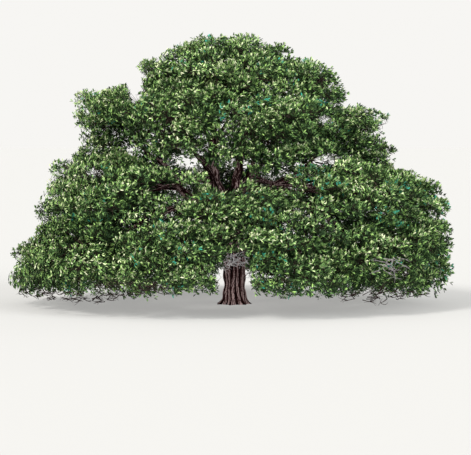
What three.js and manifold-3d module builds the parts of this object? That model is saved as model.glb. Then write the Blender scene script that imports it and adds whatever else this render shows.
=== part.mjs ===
// A full-grown live oak: one short thick trunk, wide arching boughs and a broad crown of foliage masses.
// Millimetres, +Z up. The origin is the centre of the flat cut under the trunk, at ground level.
// Seen from the front, +X is to the right and +Y is away.
import * as THREE from "three";
import { mergeVertices } from "three/addons/utils/BufferGeometryUtils.js";
import Module from "manifold-3d";

const wasm = await Module();
wasm.setup();

// Trunk: heights and radii of its plain bole, before the root flare and the flutes are added.
const TRUNK_TOP = 6300;
const BOLE_RADIUS = 600;
const TRUNK_TOP_RADIUS = 400;
const WAIST_HEIGHT = 1500;
const SHOULDER_HEIGHT = 3300;
const SHOULDER_SWELL = 90;
const FLARE_REACH = 560;
const FLARE_HEIGHT = 430;
const ROOT_COUNT = 7;
const ROOT_REACH = 300;
const FLUTE_DEPTH = 26;
const TRUNK_LEAN_X = -480;
const TRUNK_LEAN_Y = 60;
const TRUNK_SIDES = 21;
const TRUNK_RINGS = 9;

// Boughs: radii at the foot and at the tip, by what the bough grows from.
const MAIN_FOOT = 330;
const MAIN_TIP = 105;
const LEADER_FOOT = 300;
const SIDE_FOOT = 185;
const SIDE_TIP = 80;
const COLLAR = 0.25;
const BOUGH_SIDES = 6;
const BOUGH_RINGS = 4;

// Clearances: between touching pieces, between neighbouring spaces, and round a limb.
const GAP = 0.3;
const SPACE_MARGIN = 30;
const LIMB_CLEARANCE = 30;
const FLATNESS = 3;

// Foliage: how the spaces are divided, and the sizes of core, stem, clumps, twigs and leaf sprays.
const SQUARENESS = 2.7;
const VERTICAL_WEIGHT = 1.45;
const ENTRY_DEPTH = 0.82;
const CLUMPS = 6;
const CLUMP_RADIUS = 1050;
const CLUMP_LEAST_REACH = 1500;
const CORE_INSET = 1500;
const CORE_LUMPS = 0.1;
const TWIG_FOOT = 75;
const TWIG_TIP = 40;
const TWIG_PAST_CLUMP = 330;
const SPRAY_PLACES = [-260, 20, 290];
const SPRAY_LENGTH = 2300;
const SPRAY_WIDTH = 1450;
const SPRAY_WIDEST = 0.58;
const SPRAY_THICKNESS = 36;
const SPRAY_CHOICES = [1, 0.85, 0.7].flatMap((size) => [0, 0.2, 0.4, 0.6].map((bend) => [bend, size]));
const SPRAY_SPREAD = [0.9, 1.25];
const GOLDEN_ANGLE = Math.PI * (3 - Math.sqrt(5));

// Tiers of the crown, from the lowest up. Azimuth 0 is right, 90 back, 180 left and 270 front, in degrees.
// reach is the furthest tip from the axis to the right, back, left and front. half is half of a mass's
// size outward, round the crown and up. rise lifts the left side and lowers the right.
const TIERS = [
  {
    name: "skirt",
    azimuths: [0, 45, 90, 135, 180, 214, 250, 289, 325],
    widths: [1, 1.15, 1.15, 1.15, 1, 1, 0.8, 0.8, 1],
    height: 3120,
    rise: -200,
    reach: [13550, 13000, 13750, 12900],
    half: [3300, 3900, 2450],
  },
  {
    name: "shoulder",
    azimuths: [2, 48, 92, 136, 180, 213, 270, 321],
    widths: [1, 1, 1, 1, 1, 1, 1, 1],
    height: 6700,
    rise: 150,
    reach: [12850, 11600, 12000, 11400],
    half: [3300, 3700, 2250],
  },
  {
    name: "upper",
    azimuths: [0, 60, 121, 180, 239, 289],
    widths: [1, 1, 1, 1, 0.9, 1],
    height: 10500,
    rise: 480,
    reach: [10050, 8700, 10150, 8400],
    half: [3050, 3400, 2300],
  },
  {
    name: "top",
    azimuths: [0, 88, 180, 272],
    widths: [1, 1, 1, 1],
    height: 13000,
    rise: 250,
    reach: [7450, 6100, 6350, 6000],
    half: [2600, 2900, 2000],
  },
  {
    name: "summit",
    azimuths: [350, 170],
    widths: [1, 1],
    height: 14650,
    rise: -50,
    reach: [3500, 3000, 4400, 3000],
    half: [2350, 3000, 2050],
  },
];
const FRONT = 270;
const FRONT_ARC = 30;
const FRONT_SHOULDER_DROP = 1800;
const FRONT_SHOULDER_SETBACK = 1200;

// Where each main bough leaves the trunk, by its place in the upper tier, and where the leaders do.
const MAIN_HEIGHTS = [5450, 5850, 5000, 4550, 5650, 5200];
const LEADER_HEIGHT = 5900;
const FRONT_BOUGH_HEIGHT = 3500;

// How far along its carrier a side bough leaves it, and the step between neighbours.
const SHARES = { skirt: 0.3, shoulder: 0.5, top: 0.42 };
const SHARE_STEP = 0.09;

// The minimal standard generator, which gives the same draws in any language.
class Seeded {
  constructor(seed) {
    this.state = (seed * 7919 + 104729) % 2147483647;
    for (let k = 0; k < 4; k++) this.next();
  }
  next() {
    this.state = (this.state * 48271) % 2147483647;
    return this.state / 2147483647;
  }
  between(low, high) {
    return low + (high - low) * this.next();
  }
}

const radians = THREE.MathUtils.degToRad;
const bark = new THREE.MeshStandardMaterial({ color: 0x5a4440, roughness: 0.95, metalness: 0 });
const leafGreens = [0x3f6a26, 0x4c7a2c, 0x5c8a35, 0x47722b, 0x6a963d].map(
  (color) => new THREE.MeshStandardMaterial({ color, roughness: 0.6, metalness: 0 }),
);

function outward(azimuth) {
  return new THREE.Vector3(Math.cos(radians(azimuth)), Math.sin(radians(azimuth)), 0);
}

function angleBetween(a, b) {
  return Math.abs(((((a - b) % 360) + 540) % 360) - 180);
}

// A closed three.js geometry as a solid.
function solidOf(geometry) {
  const bare = new THREE.BufferGeometry().setAttribute("position", geometry.getAttribute("position"));
  bare.setIndex(geometry.index);
  const merged = mergeVertices(bare, 1e-3);
  const corners = merged.index.array;
  const kept = [];
  for (let i = 0; i < corners.length; i += 3) {
    const [a, b, c] = [corners[i], corners[i + 1], corners[i + 2]];
    if (a !== b && b !== c && c !== a) kept.push(a, b, c);
  }
  return new wasm.Manifold(
    new wasm.Mesh({
      numProp: 3,
      vertProperties: merged.getAttribute("position").array,
      triVerts: new Uint32Array(kept),
    }),
  );
}

function meshOf(solid, name, material) {
  const { vertProperties, triVerts } = solid.getMesh();
  const geometry = new THREE.BufferGeometry();
  geometry.setAttribute("position", new THREE.BufferAttribute(vertProperties, 3));
  geometry.setIndex(new THREE.BufferAttribute(triVerts, 1));
  geometry.computeVertexNormals();
  const mesh = new THREE.Mesh(geometry, material);
  mesh.name = name;
  return mesh;
}

// The largest of a solid's separate pieces, so that no loose scrap is kept.
function largest(solid) {
  return solid.decompose().reduce((best, piece) => (piece.volume() > best.volume() ? piece : best));
}

// The trunk's centre at a height: upright at the ground, then leaning a little to its fork.
function trunkCentre(height) {
  const share = height / TRUNK_TOP;
  return new THREE.Vector3(TRUNK_LEAN_X * share ** 2.4, TRUNK_LEAN_Y * share ** 2, height);
}

// The trunk's radius: a waist above the flare, a swell under the boughs and a taper to the fork.
function boleRadius(height) {
  const taper = THREE.MathUtils.smoothstep(height, SHOULDER_HEIGHT, TRUNK_TOP);
  const swell = SHOULDER_SWELL * Math.exp(-(((height - SHOULDER_HEIGHT) / WAIST_HEIGHT) ** 2));
  return THREE.MathUtils.lerp(BOLE_RADIUS, TRUNK_TOP_RADIUS, taper) + swell;
}

function trunkRadius(height, angle) {
  const flare = Math.exp(-height / FLARE_HEIGHT);
  const uneven = 0.8 + 0.2 * Math.cos(angle - radians(160));
  const lobe = Math.max(0, Math.cos(ROOT_COUNT * angle + 0.5 * Math.sin(2 * angle))) ** 2;
  const fork = THREE.MathUtils.smoothstep(height, SHOULDER_HEIGHT, TRUNK_TOP);
  const flute = FLUTE_DEPTH * Math.cos(ROOT_COUNT * angle + height / 2600) * (1 - fork);
  return boleRadius(height) + (FLARE_REACH * uneven * flare) / 2 + ROOT_REACH * lobe * flare ** 2 + flute;
}

// A unit cylinder whose height runs along +Y, with its base at 0.
function unitCylinder(sides, rings) {
  return new THREE.CylinderGeometry(1, 1, 1, sides, rings).translate(0, 0.5, 0);
}

function trunkSolid(extra) {
  const geometry = unitCylinder(TRUNK_SIDES, TRUNK_RINGS);
  const position = geometry.getAttribute("position");
  for (let i = 0; i < position.count; i++) {
    const across = Math.hypot(position.getX(i), position.getZ(i));
    const angle = Math.atan2(-position.getZ(i), position.getX(i));
    const height = TRUNK_TOP * position.getY(i) ** 1.7;
    const radius = across * (trunkRadius(height, angle) + extra);
    const lift = height > TRUNK_TOP - 1 ? extra : 0;
    const centre = trunkCentre(height);
    position.setXYZ(i, centre.x + radius * Math.cos(angle), centre.y + radius * Math.sin(angle), height + lift);
  }
  return solidOf(geometry);
}

// One tapering limb along its curve. Its sections turn with the curve about a level axis.
function limbSolid(limb, extra) {
  const geometry = unitCylinder(BOUGH_SIDES, BOUGH_RINGS);
  const position = geometry.getAttribute("position");
  for (let i = 0; i < position.count; i++) {
    const share = position.getY(i);
    const along = limb.curve.getTangent(share);
    const level = limb.level.clone().addScaledVector(along, -limb.level.dot(along)).normalize();
    const upper = new THREE.Vector3().crossVectors(level, along);
    const radius = limb.radius(share) + extra;
    const point = limb.curve
      .getPoint(share)
      .addScaledVector(level, radius * position.getX(i))
      .addScaledVector(upper, radius * position.getZ(i))
      .addScaledVector(along, extra * (share > 0.999 ? 1 : share < 0.001 ? -1 : 0));
    position.setXYZ(i, point.x, point.y, point.z);
  }
  return solidOf(geometry);
}

// Blends a tier's four reaches round the crown.
function reachAt(tier, azimuth) {
  const [right, back, left, front] = tier.reach;
  const direction = outward(azimuth);
  const sideways = direction.x > 0 ? right : left;
  const depthways = direction.y > 0 ? back : front;
  return sideways * direction.x ** 2 + depthways * direction.y ** 2;
}

function planMass(tier, index, seed) {
  const azimuth = tier.azimuths[index];
  const direction = outward(azimuth);
  const low = tier.name === "shoulder" && azimuth === FRONT;
  const setback = low ? FRONT_SHOULDER_SETBACK : 0;
  const drop = low ? FRONT_SHOULDER_DROP : 0;
  const [deep, wide, tall] = tier.half;
  const centre = direction.clone().multiplyScalar(reachAt(tier, azimuth) - deep - setback);
  centre.z = tier.height - tier.rise * direction.x - drop;
  return {
    name: `${tier.name}_${index + 1}`,
    tier: tier.name,
    azimuth,
    seed,
    centre,
    axes: [direction, new THREE.Vector3(-direction.y, direction.x, 0), new THREE.Vector3(0, 0, 1)],
    half: [deep, wide * tier.widths[index], tall],
  };
}

// A point's place in a mass, where its rounded block has radius 1.
function placeIn(mass, point) {
  const offset = point.clone().sub(mass.centre);
  const shares = mass.axes.map((axis, k) => Math.abs(offset.dot(axis) / mass.half[k]) ** SQUARENESS);
  return (shares[0] + shares[1] + shares[2]) ** (1 / SQUARENESS);
}

// A mass's own surface point in a direction, at a share of the way out.
function surfacePoint(mass, direction, share) {
  const reach = 1 / placeIn(mass, mass.centre.clone().add(direction));
  return mass.centre.clone().addScaledVector(direction, reach * share);
}

function weighed(mass, point) {
  const offset = point.clone().sub(mass.centre);
  offset.z *= VERTICAL_WEIGHT;
  const size = (mass.half[0] + mass.half[1]) / 2;
  return offset.lengthSq() - size * size;
}

// True where a point lies in the mass's rounded block and on its side of the plane to each neighbour.
function ownSpace(mass, masses, point) {
  if (placeIn(mass, point) > 1) return false;
  return masses.every((other) => other === mass || sideOf(mass, other, point) > 0);
}

// How far a point stands on a mass's side of the plane between it and another, in weighed units.
function sideOf(mass, other, point) {
  const between = other.centre.clone().sub(mass.centre);
  between.z *= VERTICAL_WEIGHT;
  return weighed(other, point) - weighed(mass, point) - 2 * SPACE_MARGIN * between.length();
}

// The way from a mass's centre to the edge of its space in a direction.
function reachOf(mass, masses, direction) {
  const one = mass.centre.clone().add(direction);
  let reach = 1 / placeIn(mass, one);
  for (const other of masses) {
    if (other === mass) continue;
    const here = sideOf(mass, other, mass.centre);
    const loss = here - sideOf(mass, other, one);
    if (loss > 0) reach = Math.min(reach, here / loss);
  }
  return reach;
}

// A bough from its carrier's centre line to where it enters its mass.
function planBough(mass, start, leave, carrier, foot, tip) {
  const inwards = start.clone().sub(mass.centre).normalize();
  const end = surfacePoint(mass, inwards, ENTRY_DEPTH);
  const length = end.distanceTo(start);
  const arrive = end.clone().addScaledVector(inwards, length * 0.34);
  const curve = new THREE.CubicBezierCurve3(start, start.clone().addScaledVector(leave, length * 0.36), arrive, end);
  const level = new THREE.Vector3(0, 0, 1).cross(mass.axes[0]).normalize();
  return {
    name: `bough_${mass.name}`,
    curve,
    level,
    mass,
    carrier,
    length,
    tip,
    radius: (share) => tip + (foot - tip) * (1 - share) ** 0.85 + COLLAR * foot * Math.exp(-share * 14),
  };
}

function leaving(azimuth, rise) {
  const direction = outward(azimuth);
  direction.z = rise;
  return direction.normalize();
}

function trunkBough(mass, height, rise, foot) {
  const start = trunkCentre(height).addScaledVector(outward(mass.azimuth), 0.3 * boleRadius(height));
  return planBough(mass, start, leaving(mass.azimuth, rise), null, foot, MAIN_TIP);
}

function sideBough(mass, carrier, share) {
  const start = carrier.curve.getPoint(share);
  const along = carrier.curve.getTangent(share);
  const towards = mass.centre.clone().sub(start).normalize();
  const leave = towards.multiplyScalar(1.1).add(along).normalize();
  return planBough(mass, start, leave, carrier, SIDE_FOOT, SIDE_TIP);
}

// Every bough: mains and leaders from the trunk, and side boughs from the nearest of those.
function planBoughs(masses) {
  const of = (tier) => masses.filter((mass) => mass.tier === tier);
  const mains = of("upper").map((mass, k) => trunkBough(mass, MAIN_HEIGHTS[k], 0.62, MAIN_FOOT));
  const leaders = of("summit").map((mass) => trunkBough(mass, LEADER_HEIGHT, 2.4, LEADER_FOOT));
  const front = of("shoulder")
    .filter((mass) => mass.azimuth === FRONT)
    .map((mass) => trunkBough(mass, FRONT_BOUGH_HEIGHT, 0.5, MAIN_FOOT));
  const placed = [];
  for (const tier of ["shoulder", "skirt", "top"]) {
    const carried = new Map();
    for (const mass of of(tier)) {
      if (front.some((bough) => bough.mass === mass)) continue;
      const low = tier === "skirt" && angleBetween(mass.azimuth, FRONT) < FRONT_ARC;
      const choices = low ? front : tier === "top" ? leaders : mains;
      const carrier = choices.reduce((best, bough) =>
        angleBetween(bough.mass.azimuth, mass.azimuth) < angleBetween(best.mass.azimuth, mass.azimuth) ? bough : best,
      );
      const order = carried.get(carrier) ?? 0;
      carried.set(carrier, order + 1);
      placed.push(sideBough(mass, carrier, SHARES[tier] + SHARE_STEP * order));
    }
  }
  return [...leaders, ...mains, ...front, ...placed];
}

// The shortest way from a limb's skin to a straight piece, by points along both.
function clearOfLimbs(limbs, from, to, width) {
  const piece = new THREE.Line3(from, to);
  const nearest = new THREE.Vector3();
  return limbs.every((limb) =>
    limb.samples.every(({ point, radius }) => {
      piece.closestPointToPoint(point, true, nearest);
      return nearest.distanceTo(point) > radius + width + LIMB_CLEARANCE;
    }),
  );
}

// Two directions square to a straight run and to each other.
function crossAxes(along) {
  const helper = Math.abs(along.z) < 0.8 ? new THREE.Vector3(0, 0, 1) : new THREE.Vector3(1, 0, 0);
  const side = new THREE.Vector3().crossVectors(along, helper).normalize();
  return { side, face: new THREE.Vector3().crossVectors(side, along) };
}

// A closed body through corner points, by the corners of each face.
function bodyOf(points, faces) {
  const geometry = new THREE.BufferGeometry().setFromPoints(points);
  geometry.setIndex(faces.flat());
  return geometry;
}

// A three-sided twig that tapers along a straight run.
function twigSolid(from, to, foot, tip) {
  const { side, face } = crossAxes(to.clone().sub(from).normalize());
  const ring = (centre, radius) =>
    [0, 1, 2].map((k) => {
      const angle = (2 * Math.PI * k) / 3;
      const corner = centre.clone().addScaledVector(side, radius * Math.sin(angle));
      return corner.addScaledVector(face, radius * Math.cos(angle));
    });
  const points = [...ring(from, foot), ...ring(to, tip)];
  const faces = [[2, 1, 0], [3, 4, 5], [0, 1, 4], [0, 4, 3], [1, 2, 5], [1, 5, 4], [2, 0, 3], [2, 3, 5]];
  return solidOf(bodyOf(points, faces));
}

// One leaf spray: a thin blade with a keel, sharp at its root and at its tip.
function spraySolid({ root, aim, across, size }) {
  const normal = new THREE.Vector3().crossVectors(across, aim);
  const frame = new THREE.Matrix4().makeBasis(across, aim, normal).setPosition(root);
  const [half, waist] = [(SPRAY_WIDTH * size) / 2, SPRAY_LENGTH * SPRAY_WIDEST * size];
  const points = [
    new THREE.Vector3(0, 0, 0),
    new THREE.Vector3(half, waist, 0),
    new THREE.Vector3(0, waist, -SPRAY_THICKNESS),
    new THREE.Vector3(-half, waist, 0),
    new THREE.Vector3(0, SPRAY_LENGTH * size, 0),
  ];
  const faces = [[0, 1, 3], [0, 2, 1], [0, 3, 2], [4, 3, 1], [4, 1, 2], [4, 2, 3]];
  return solidOf(bodyOf(points, faces).applyMatrix4(frame));
}

// A small lumpy body that the twigs of a dense mass stand out of.
function coreSolid(mass, masses, draw) {
  const geometry = new THREE.DodecahedronGeometry(1, 0);
  const lumps = [0, 1, 2].map(() => draw.between(0, 2 * Math.PI));
  const position = geometry.getAttribute("position");
  for (let i = 0; i < position.count; i++) {
    const [x, y, z] = [position.getX(i), position.getY(i), position.getZ(i)];
    const lump = Math.sin(3 * x + lumps[0]) + Math.sin(3 * y + lumps[1]) + Math.sin(3 * z + lumps[2]);
    const aim = new THREE.Vector3()
      .addScaledVector(mass.axes[0], x * mass.half[0])
      .addScaledVector(mass.axes[1], y * mass.half[1])
      .addScaledVector(mass.axes[2], z * mass.half[2])
      .normalize();
    const reach = Math.max(reachOf(mass, masses, aim) - CORE_INSET, 200) * (1 + CORE_LUMPS * lump);
    position.setXYZ(i, ...mass.centre.clone().addScaledVector(aim, reach));
  }
  return solidOf(geometry);
}

// The places where a mass's clumps of leaves stand, spread evenly round its space.
function clumpPlaces(mass, masses, draw) {
  const turn = draw.between(0, 2 * Math.PI);
  const places = [];
  for (let k = 0; k < CLUMPS; k++) {
    const level = 1 - (2 * (k + 0.5)) / CLUMPS;
    const round = Math.sqrt(1 - level * level);
    const angle = turn + k * GOLDEN_ANGLE;
    const direction = new THREE.Vector3()
      .addScaledVector(mass.axes[0], round * Math.cos(angle))
      .addScaledVector(mass.axes[1], round * Math.sin(angle))
      .addScaledVector(mass.axes[2], level);
    const reach = reachOf(mass, masses, direction);
    if (reach < CLUMP_LEAST_REACH) continue;
    places.push(mass.centre.clone().addScaledVector(direction, reach - CLUMP_RADIUS));
  }
  return places;
}

// The sprays of one clump, each on its own side of the twig and within the mass's space.
function clumpSprays(mass, masses, limbs, run, draw) {
  const sprays = [];
  const turn = Math.floor(draw.between(0, 3));
  SPRAY_PLACES.forEach((place, k) => {
    const angle = ((2 * ((k + turn) % 3) + 1) * Math.PI) / 3;
    const out = run.side.clone().multiplyScalar(Math.sin(angle)).addScaledVector(run.face, Math.cos(angle));
    const across = new THREE.Vector3().crossVectors(out, run.along);
    const root = run.clump.clone().addScaledVector(run.along, place);
    const spread = draw.between(...SPRAY_SPREAD);
    const choice = SPRAY_CHOICES.map(([bend, size]) => {
      const [ahead, aside] = [Math.cos(spread + bend), Math.sin(spread + bend)];
      const aim = run.along.clone().multiplyScalar(ahead).addScaledVector(out, aside);
      return { root, aim, across, size };
    }).find((spray) => fits(mass, masses, limbs, spray));
    if (choice) sprays.push(spraySolid(choice));
  });
  return sprays;
}

// Whether a spray keeps to its mass's space and off the limbs.
function fits(mass, masses, limbs, { root, aim, across, size }) {
  const tip = root.clone().addScaledVector(aim, SPRAY_LENGTH * size);
  const waist = root.clone().addScaledVector(aim, SPRAY_LENGTH * SPRAY_WIDEST * size);
  const half = (SPRAY_WIDTH * size) / 2;
  const corners = [tip, ...[half, -half].map((way) => waist.clone().addScaledVector(across, way))];
  return corners.every((corner) => ownSpace(mass, masses, corner)) && clearOfLimbs(limbs, root, tip, half);
}

// One mass of foliage: a stem from its bough's tip, and a twig with leaf sprays for each clump.
function foliageSolid(bough, masses, limbs) {
  const { mass } = bough;
  const draw = new Seeded(mass.seed);
  const heading = bough.curve.getTangent(1);
  const foot = bough.curve.getPoint(1).addScaledVector(heading, GAP);
  const pieces = [twigSolid(foot, mass.centre, bough.tip * 0.9, TWIG_FOOT), coreSolid(mass, masses, draw)];
  for (const clump of clumpPlaces(mass, masses, draw)) {
    const start = mass.centre.clone().lerp(foot, draw.between(0, 0.35));
    const along = clump.clone().sub(start).normalize();
    const end = clump.clone().addScaledVector(along, TWIG_PAST_CLUMP);
    if (!ownSpace(mass, masses, end) || !clearOfLimbs(limbs, clump, end, TWIG_FOOT)) continue;
    pieces.push(twigSolid(start, end, TWIG_FOOT, TWIG_TIP));
    pieces.push(...clumpSprays(mass, masses, limbs, { clump, along, ...crossAxes(along) }, draw));
  }
  const whole = wasm.Manifold.union(pieces).simplify(FLATNESS);
  return largest(limbs.reduce((rest, limb) => rest.subtract(limb.grown), whole));
}

function buildTree() {
  const tree = new THREE.Group();
  let seed = 0;
  const masses = TIERS.flatMap((tier) => tier.azimuths.map((_, index) => planMass(tier, index, ++seed)));
  const boughs = planBoughs(masses);
  const trunk = trunkSolid(0);
  tree.add(meshOf(trunk, "trunk", bark));
  const limbs = [{ grown: trunkSolid(GAP), samples: trunkSamples() }];
  for (const bough of boughs) {
    const solid = limbs.reduce((rest, limb) => rest.subtract(limb.grown), limbSolid(bough, 0));
    tree.add(meshOf(largest(solid), bough.name, bark));
    limbs.push({ grown: limbSolid(bough, GAP), samples: boughSamples(bough) });
  }
  boughs.forEach((bough) => {
    const solid = foliageSolid(bough, masses, limbs);
    tree.add(meshOf(solid, `foliage_${bough.mass.name}`, leafGreens[bough.mass.seed % leafGreens.length]));
  });
  return tree;
}

function trunkSamples() {
  return Array.from({ length: 32 }, (_, k) => {
    const height = (TRUNK_TOP * k) / 31;
    return { point: trunkCentre(height), radius: boleRadius(height) };
  });
}

function boughSamples(bough) {
  return Array.from({ length: 40 }, (_, k) => ({
    point: bough.curve.getPoint(k / 39),
    radius: bough.radius(k / 39),
  }));
}

export default buildTree();
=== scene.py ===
"""A full-grown live oak in leaf: a barked trunk and boughs, twigs and about 300,000 leaves.

Metres, +Z up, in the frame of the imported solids. Seen from the front, +X is to the right and +Y is
away. The crown grows by the same rule as the solids: spaces in tiers, one bough to each space, a stem
to its middle and twigs to its clumps. Here the twigs branch on, down to the leaves.
"""

from __future__ import annotations

import logging
import math
from dataclasses import dataclass, field
from enum import Enum

import bpy
import numpy as np
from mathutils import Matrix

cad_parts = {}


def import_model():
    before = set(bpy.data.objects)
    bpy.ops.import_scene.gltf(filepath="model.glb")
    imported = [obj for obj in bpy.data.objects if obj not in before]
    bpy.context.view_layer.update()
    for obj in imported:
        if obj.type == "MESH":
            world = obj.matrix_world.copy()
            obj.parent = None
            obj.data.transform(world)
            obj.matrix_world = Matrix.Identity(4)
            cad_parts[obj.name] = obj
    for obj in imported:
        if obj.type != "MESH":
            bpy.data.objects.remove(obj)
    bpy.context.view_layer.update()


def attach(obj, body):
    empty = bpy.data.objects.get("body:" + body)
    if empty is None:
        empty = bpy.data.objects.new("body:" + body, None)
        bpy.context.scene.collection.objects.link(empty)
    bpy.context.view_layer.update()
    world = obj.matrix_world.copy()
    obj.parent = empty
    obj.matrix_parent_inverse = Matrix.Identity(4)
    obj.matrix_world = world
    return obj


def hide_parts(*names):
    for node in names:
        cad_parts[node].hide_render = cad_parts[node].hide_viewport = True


LOG = logging.getLogger("oak")
BODY = "root"
GOLDEN_ANGLE = math.pi * (3 - math.sqrt(5))
UP = np.array([0.0, 0.0, 1.0])
RIGHT = np.array([1.0, 0.0, 0.0])
FRONT = 270
# Where the light comes from.
KEY_FROM = np.array([-0.46, -0.56, 0.69])
FILL_FROM = np.array([0.75, -0.6, 0.35])
BACK_FROM = np.array([0.55, 0.8, 0.3])
# Clumps and tufts may stand a little closer one above another than side by side.
CLUMP_WEIGHTS = (1, 1, 1.15)
# A mass's own seed is added to the first three.
LIMB_SEED, MASS_SEED, SKIN_SEED, TANGLE_SEED = 500, 1000, 2000, 71

Colour = tuple[float, float, float]


class LeafTint(Enum):
    """The plain leaf colours, from the sunlit tips to the shade under a clump."""

    CREAM = 0
    STRAW = 1
    LIME = 2
    SPRING = 3
    LEAF = 4
    DEEP = 5
    SHADE = 6
    TEAL = 7


def unit(vectors: np.ndarray) -> np.ndarray:
    """Vectors at length one, along the last axis."""
    return vectors / np.maximum(np.linalg.norm(vectors, axis=-1, keepdims=True), 1e-9)


def smoothstep(values: np.ndarray | float, low: float, high: float) -> np.ndarray:
    """The smooth share of the way from low to high."""
    share = np.clip((values - low) / (high - low), 0, 1)
    return share * share * (3 - 2 * share)


def outward(azimuth: float) -> np.ndarray:
    """The level direction at an azimuth in degrees."""
    angle = math.radians(azimuth)
    return np.array([math.cos(angle), math.sin(angle), 0.0])


def angle_between(a: float, b: float) -> float:
    """The smaller angle between two azimuths, in degrees."""
    return abs((((a - b) % 360) + 540) % 360 - 180)


def golden_directions(count: int, turn: float) -> np.ndarray:
    """Directions spread evenly over a sphere by the golden angle.

    Args:
        count: How many directions.
        turn: The first one's angle about the third axis, in radians.

    Returns:
        An array of count rows of three.
    """
    step = np.arange(count)
    level = 1 - 2 * (step + 0.5) / count
    around = np.sqrt(1 - level**2)
    angle = turn + step * GOLDEN_ANGLE
    return np.stack([around * np.cos(angle), around * np.sin(angle), level], axis=1)


def off_axis(along: np.ndarray) -> np.ndarray:
    """A plain direction well off each run, to take cross products with."""
    return np.where(np.abs(along[..., 2:3]) < 0.8, UP, RIGHT)


def square_axes(along: np.ndarray) -> tuple[np.ndarray, np.ndarray]:
    """Two directions square to each run and to each other."""
    side = unit(np.cross(along, off_axis(along)))
    return side, np.cross(side, along)


def turned(side: np.ndarray, face: np.ndarray, angle: np.ndarray) -> np.ndarray:
    """The directions at angles from the side direction towards the face direction."""
    return side * np.cos(angle)[..., None] + face * np.sin(angle)[..., None]


def bezier(corners: list[np.ndarray], t: np.ndarray) -> np.ndarray:
    """The points of cubic curves at shares t of the way along, corners and shares broadcast together."""
    a, b, c, d = corners
    return (1 - t) ** 3 * a + 3 * (1 - t) ** 2 * t * b + 3 * (1 - t) * t**2 * c + t**3 * d


def bezier_slope(corners: list[np.ndarray], t: np.ndarray | float) -> np.ndarray:
    """The directions of cubic curves at shares t of the way along."""
    a, b, c, d = corners
    return unit((1 - t) ** 2 * (b - a) + 2 * (1 - t) * t * (c - b) + t * t * (d - c))


def cubic(corners: list[np.ndarray], shares: np.ndarray) -> np.ndarray:
    """Points along n cubic curves at s shares of the way, of shape (n, s, 3)."""
    return bezier([corner[:, None, :] for corner in corners], shares[None, :, None])


def ways_along(points: np.ndarray) -> np.ndarray:
    """The way along a line of points to each of them."""
    return np.concatenate([[0], np.cumsum(np.linalg.norm(np.diff(points, axis=0), axis=1))])


class Seeded:
    """The solids' own generator, which gives the same draws here."""

    def __init__(self, seed: int) -> None:
        """Starts the sequence that belongs to a seed.

        Args:
            seed: The seed.
        """
        self.state = (seed * 7919 + 104729) % 2147483647
        for _ in range(4):
            self.draw()

    def draw(self) -> float:
        """The next draw, from 0 to 1."""
        self.state = (self.state * 48271) % 2147483647
        return self.state / 2147483647

    def between(self, low: float, high: float) -> float:
        """The next draw, from low to high."""
        return low + (high - low) * self.draw()


@dataclass(frozen=True)
class Tier:
    """One tier of the crown: where its masses stand, and how far they reach."""

    name: str
    azimuths: tuple[int, ...]
    height: float
    rise: float
    reach: tuple[float, float, float, float]
    half: tuple[float, float, float]
    widths: tuple[float, ...] = ()

    def reach_at(self, azimuth: float) -> float:
        """The reach on one side, blended from right, back, left and front.

        Args:
            azimuth: The side, in degrees.

        Returns:
            The reach.
        """
        right, back, left, front = self.reach
        x, y, _ = outward(azimuth)
        return (right if x > 0 else left) * x * x + (back if y > 0 else front) * y * y


TIERS = (
    Tier(
        "skirt",
        (0, 45, 90, 135, 180, 214, 250, 289, 325),
        height=3.12,
        rise=-0.2,
        reach=(13.55, 13.0, 13.75, 12.9),
        half=(3.3, 3.9, 2.45),
        widths=(1, 1.15, 1.15, 1.15, 1, 1, 0.8, 0.8, 1),
    ),
    Tier(
        "shoulder",
        (2, 48, 92, 136, 180, 213, 270, 321),
        height=6.7,
        rise=0.15,
        reach=(12.85, 11.6, 12.0, 11.4),
        half=(3.3, 3.7, 2.25),
    ),
    Tier(
        "upper",
        (0, 60, 121, 180, 239, 289),
        height=10.5,
        rise=0.48,
        reach=(10.05, 8.7, 10.15, 8.4),
        half=(3.05, 3.4, 2.3),
        widths=(1, 1, 1, 1, 0.9, 1),
    ),
    Tier(
        "top",
        (0, 88, 180, 272),
        height=13.0,
        rise=0.25,
        reach=(7.45, 6.1, 6.35, 6.0),
        half=(2.6, 2.9, 2.0),
    ),
    Tier(
        "summit",
        (350, 170),
        height=14.65,
        rise=-0.05,
        reach=(3.5, 3.0, 4.4, 3.0),
        half=(2.35, 3.0, 2.05),
    ),
)


@dataclass
class Mass:
    """One mass of foliage and the rounded block of space that it grows in."""

    name: str
    tier: str
    azimuth: float
    seed: int
    centre: np.ndarray
    axes: np.ndarray
    half: np.ndarray
    squareness: float = 2.7
    vertical_weight: float = 1.45

    def place(self, points: np.ndarray) -> np.ndarray:
        """The points' places in the block, which has radius 1."""
        offset = (points - self.centre) @ self.axes.T / self.half
        return (np.abs(offset) ** self.squareness).sum(-1) ** (1 / self.squareness)

    def weighed(self, points: np.ndarray) -> np.ndarray:
        """The squared way from the middle, less the mass's own size."""
        offset = (points - self.centre) * (1, 1, self.vertical_weight)
        return (offset**2).sum(-1) - ((self.half[0] + self.half[1]) / 2) ** 2

    def surface(self, direction: np.ndarray, share: float) -> np.ndarray:
        """The point at a share of the way to the block's surface."""
        return self.centre + direction * share / float(self.place(self.centre + direction))


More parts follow.
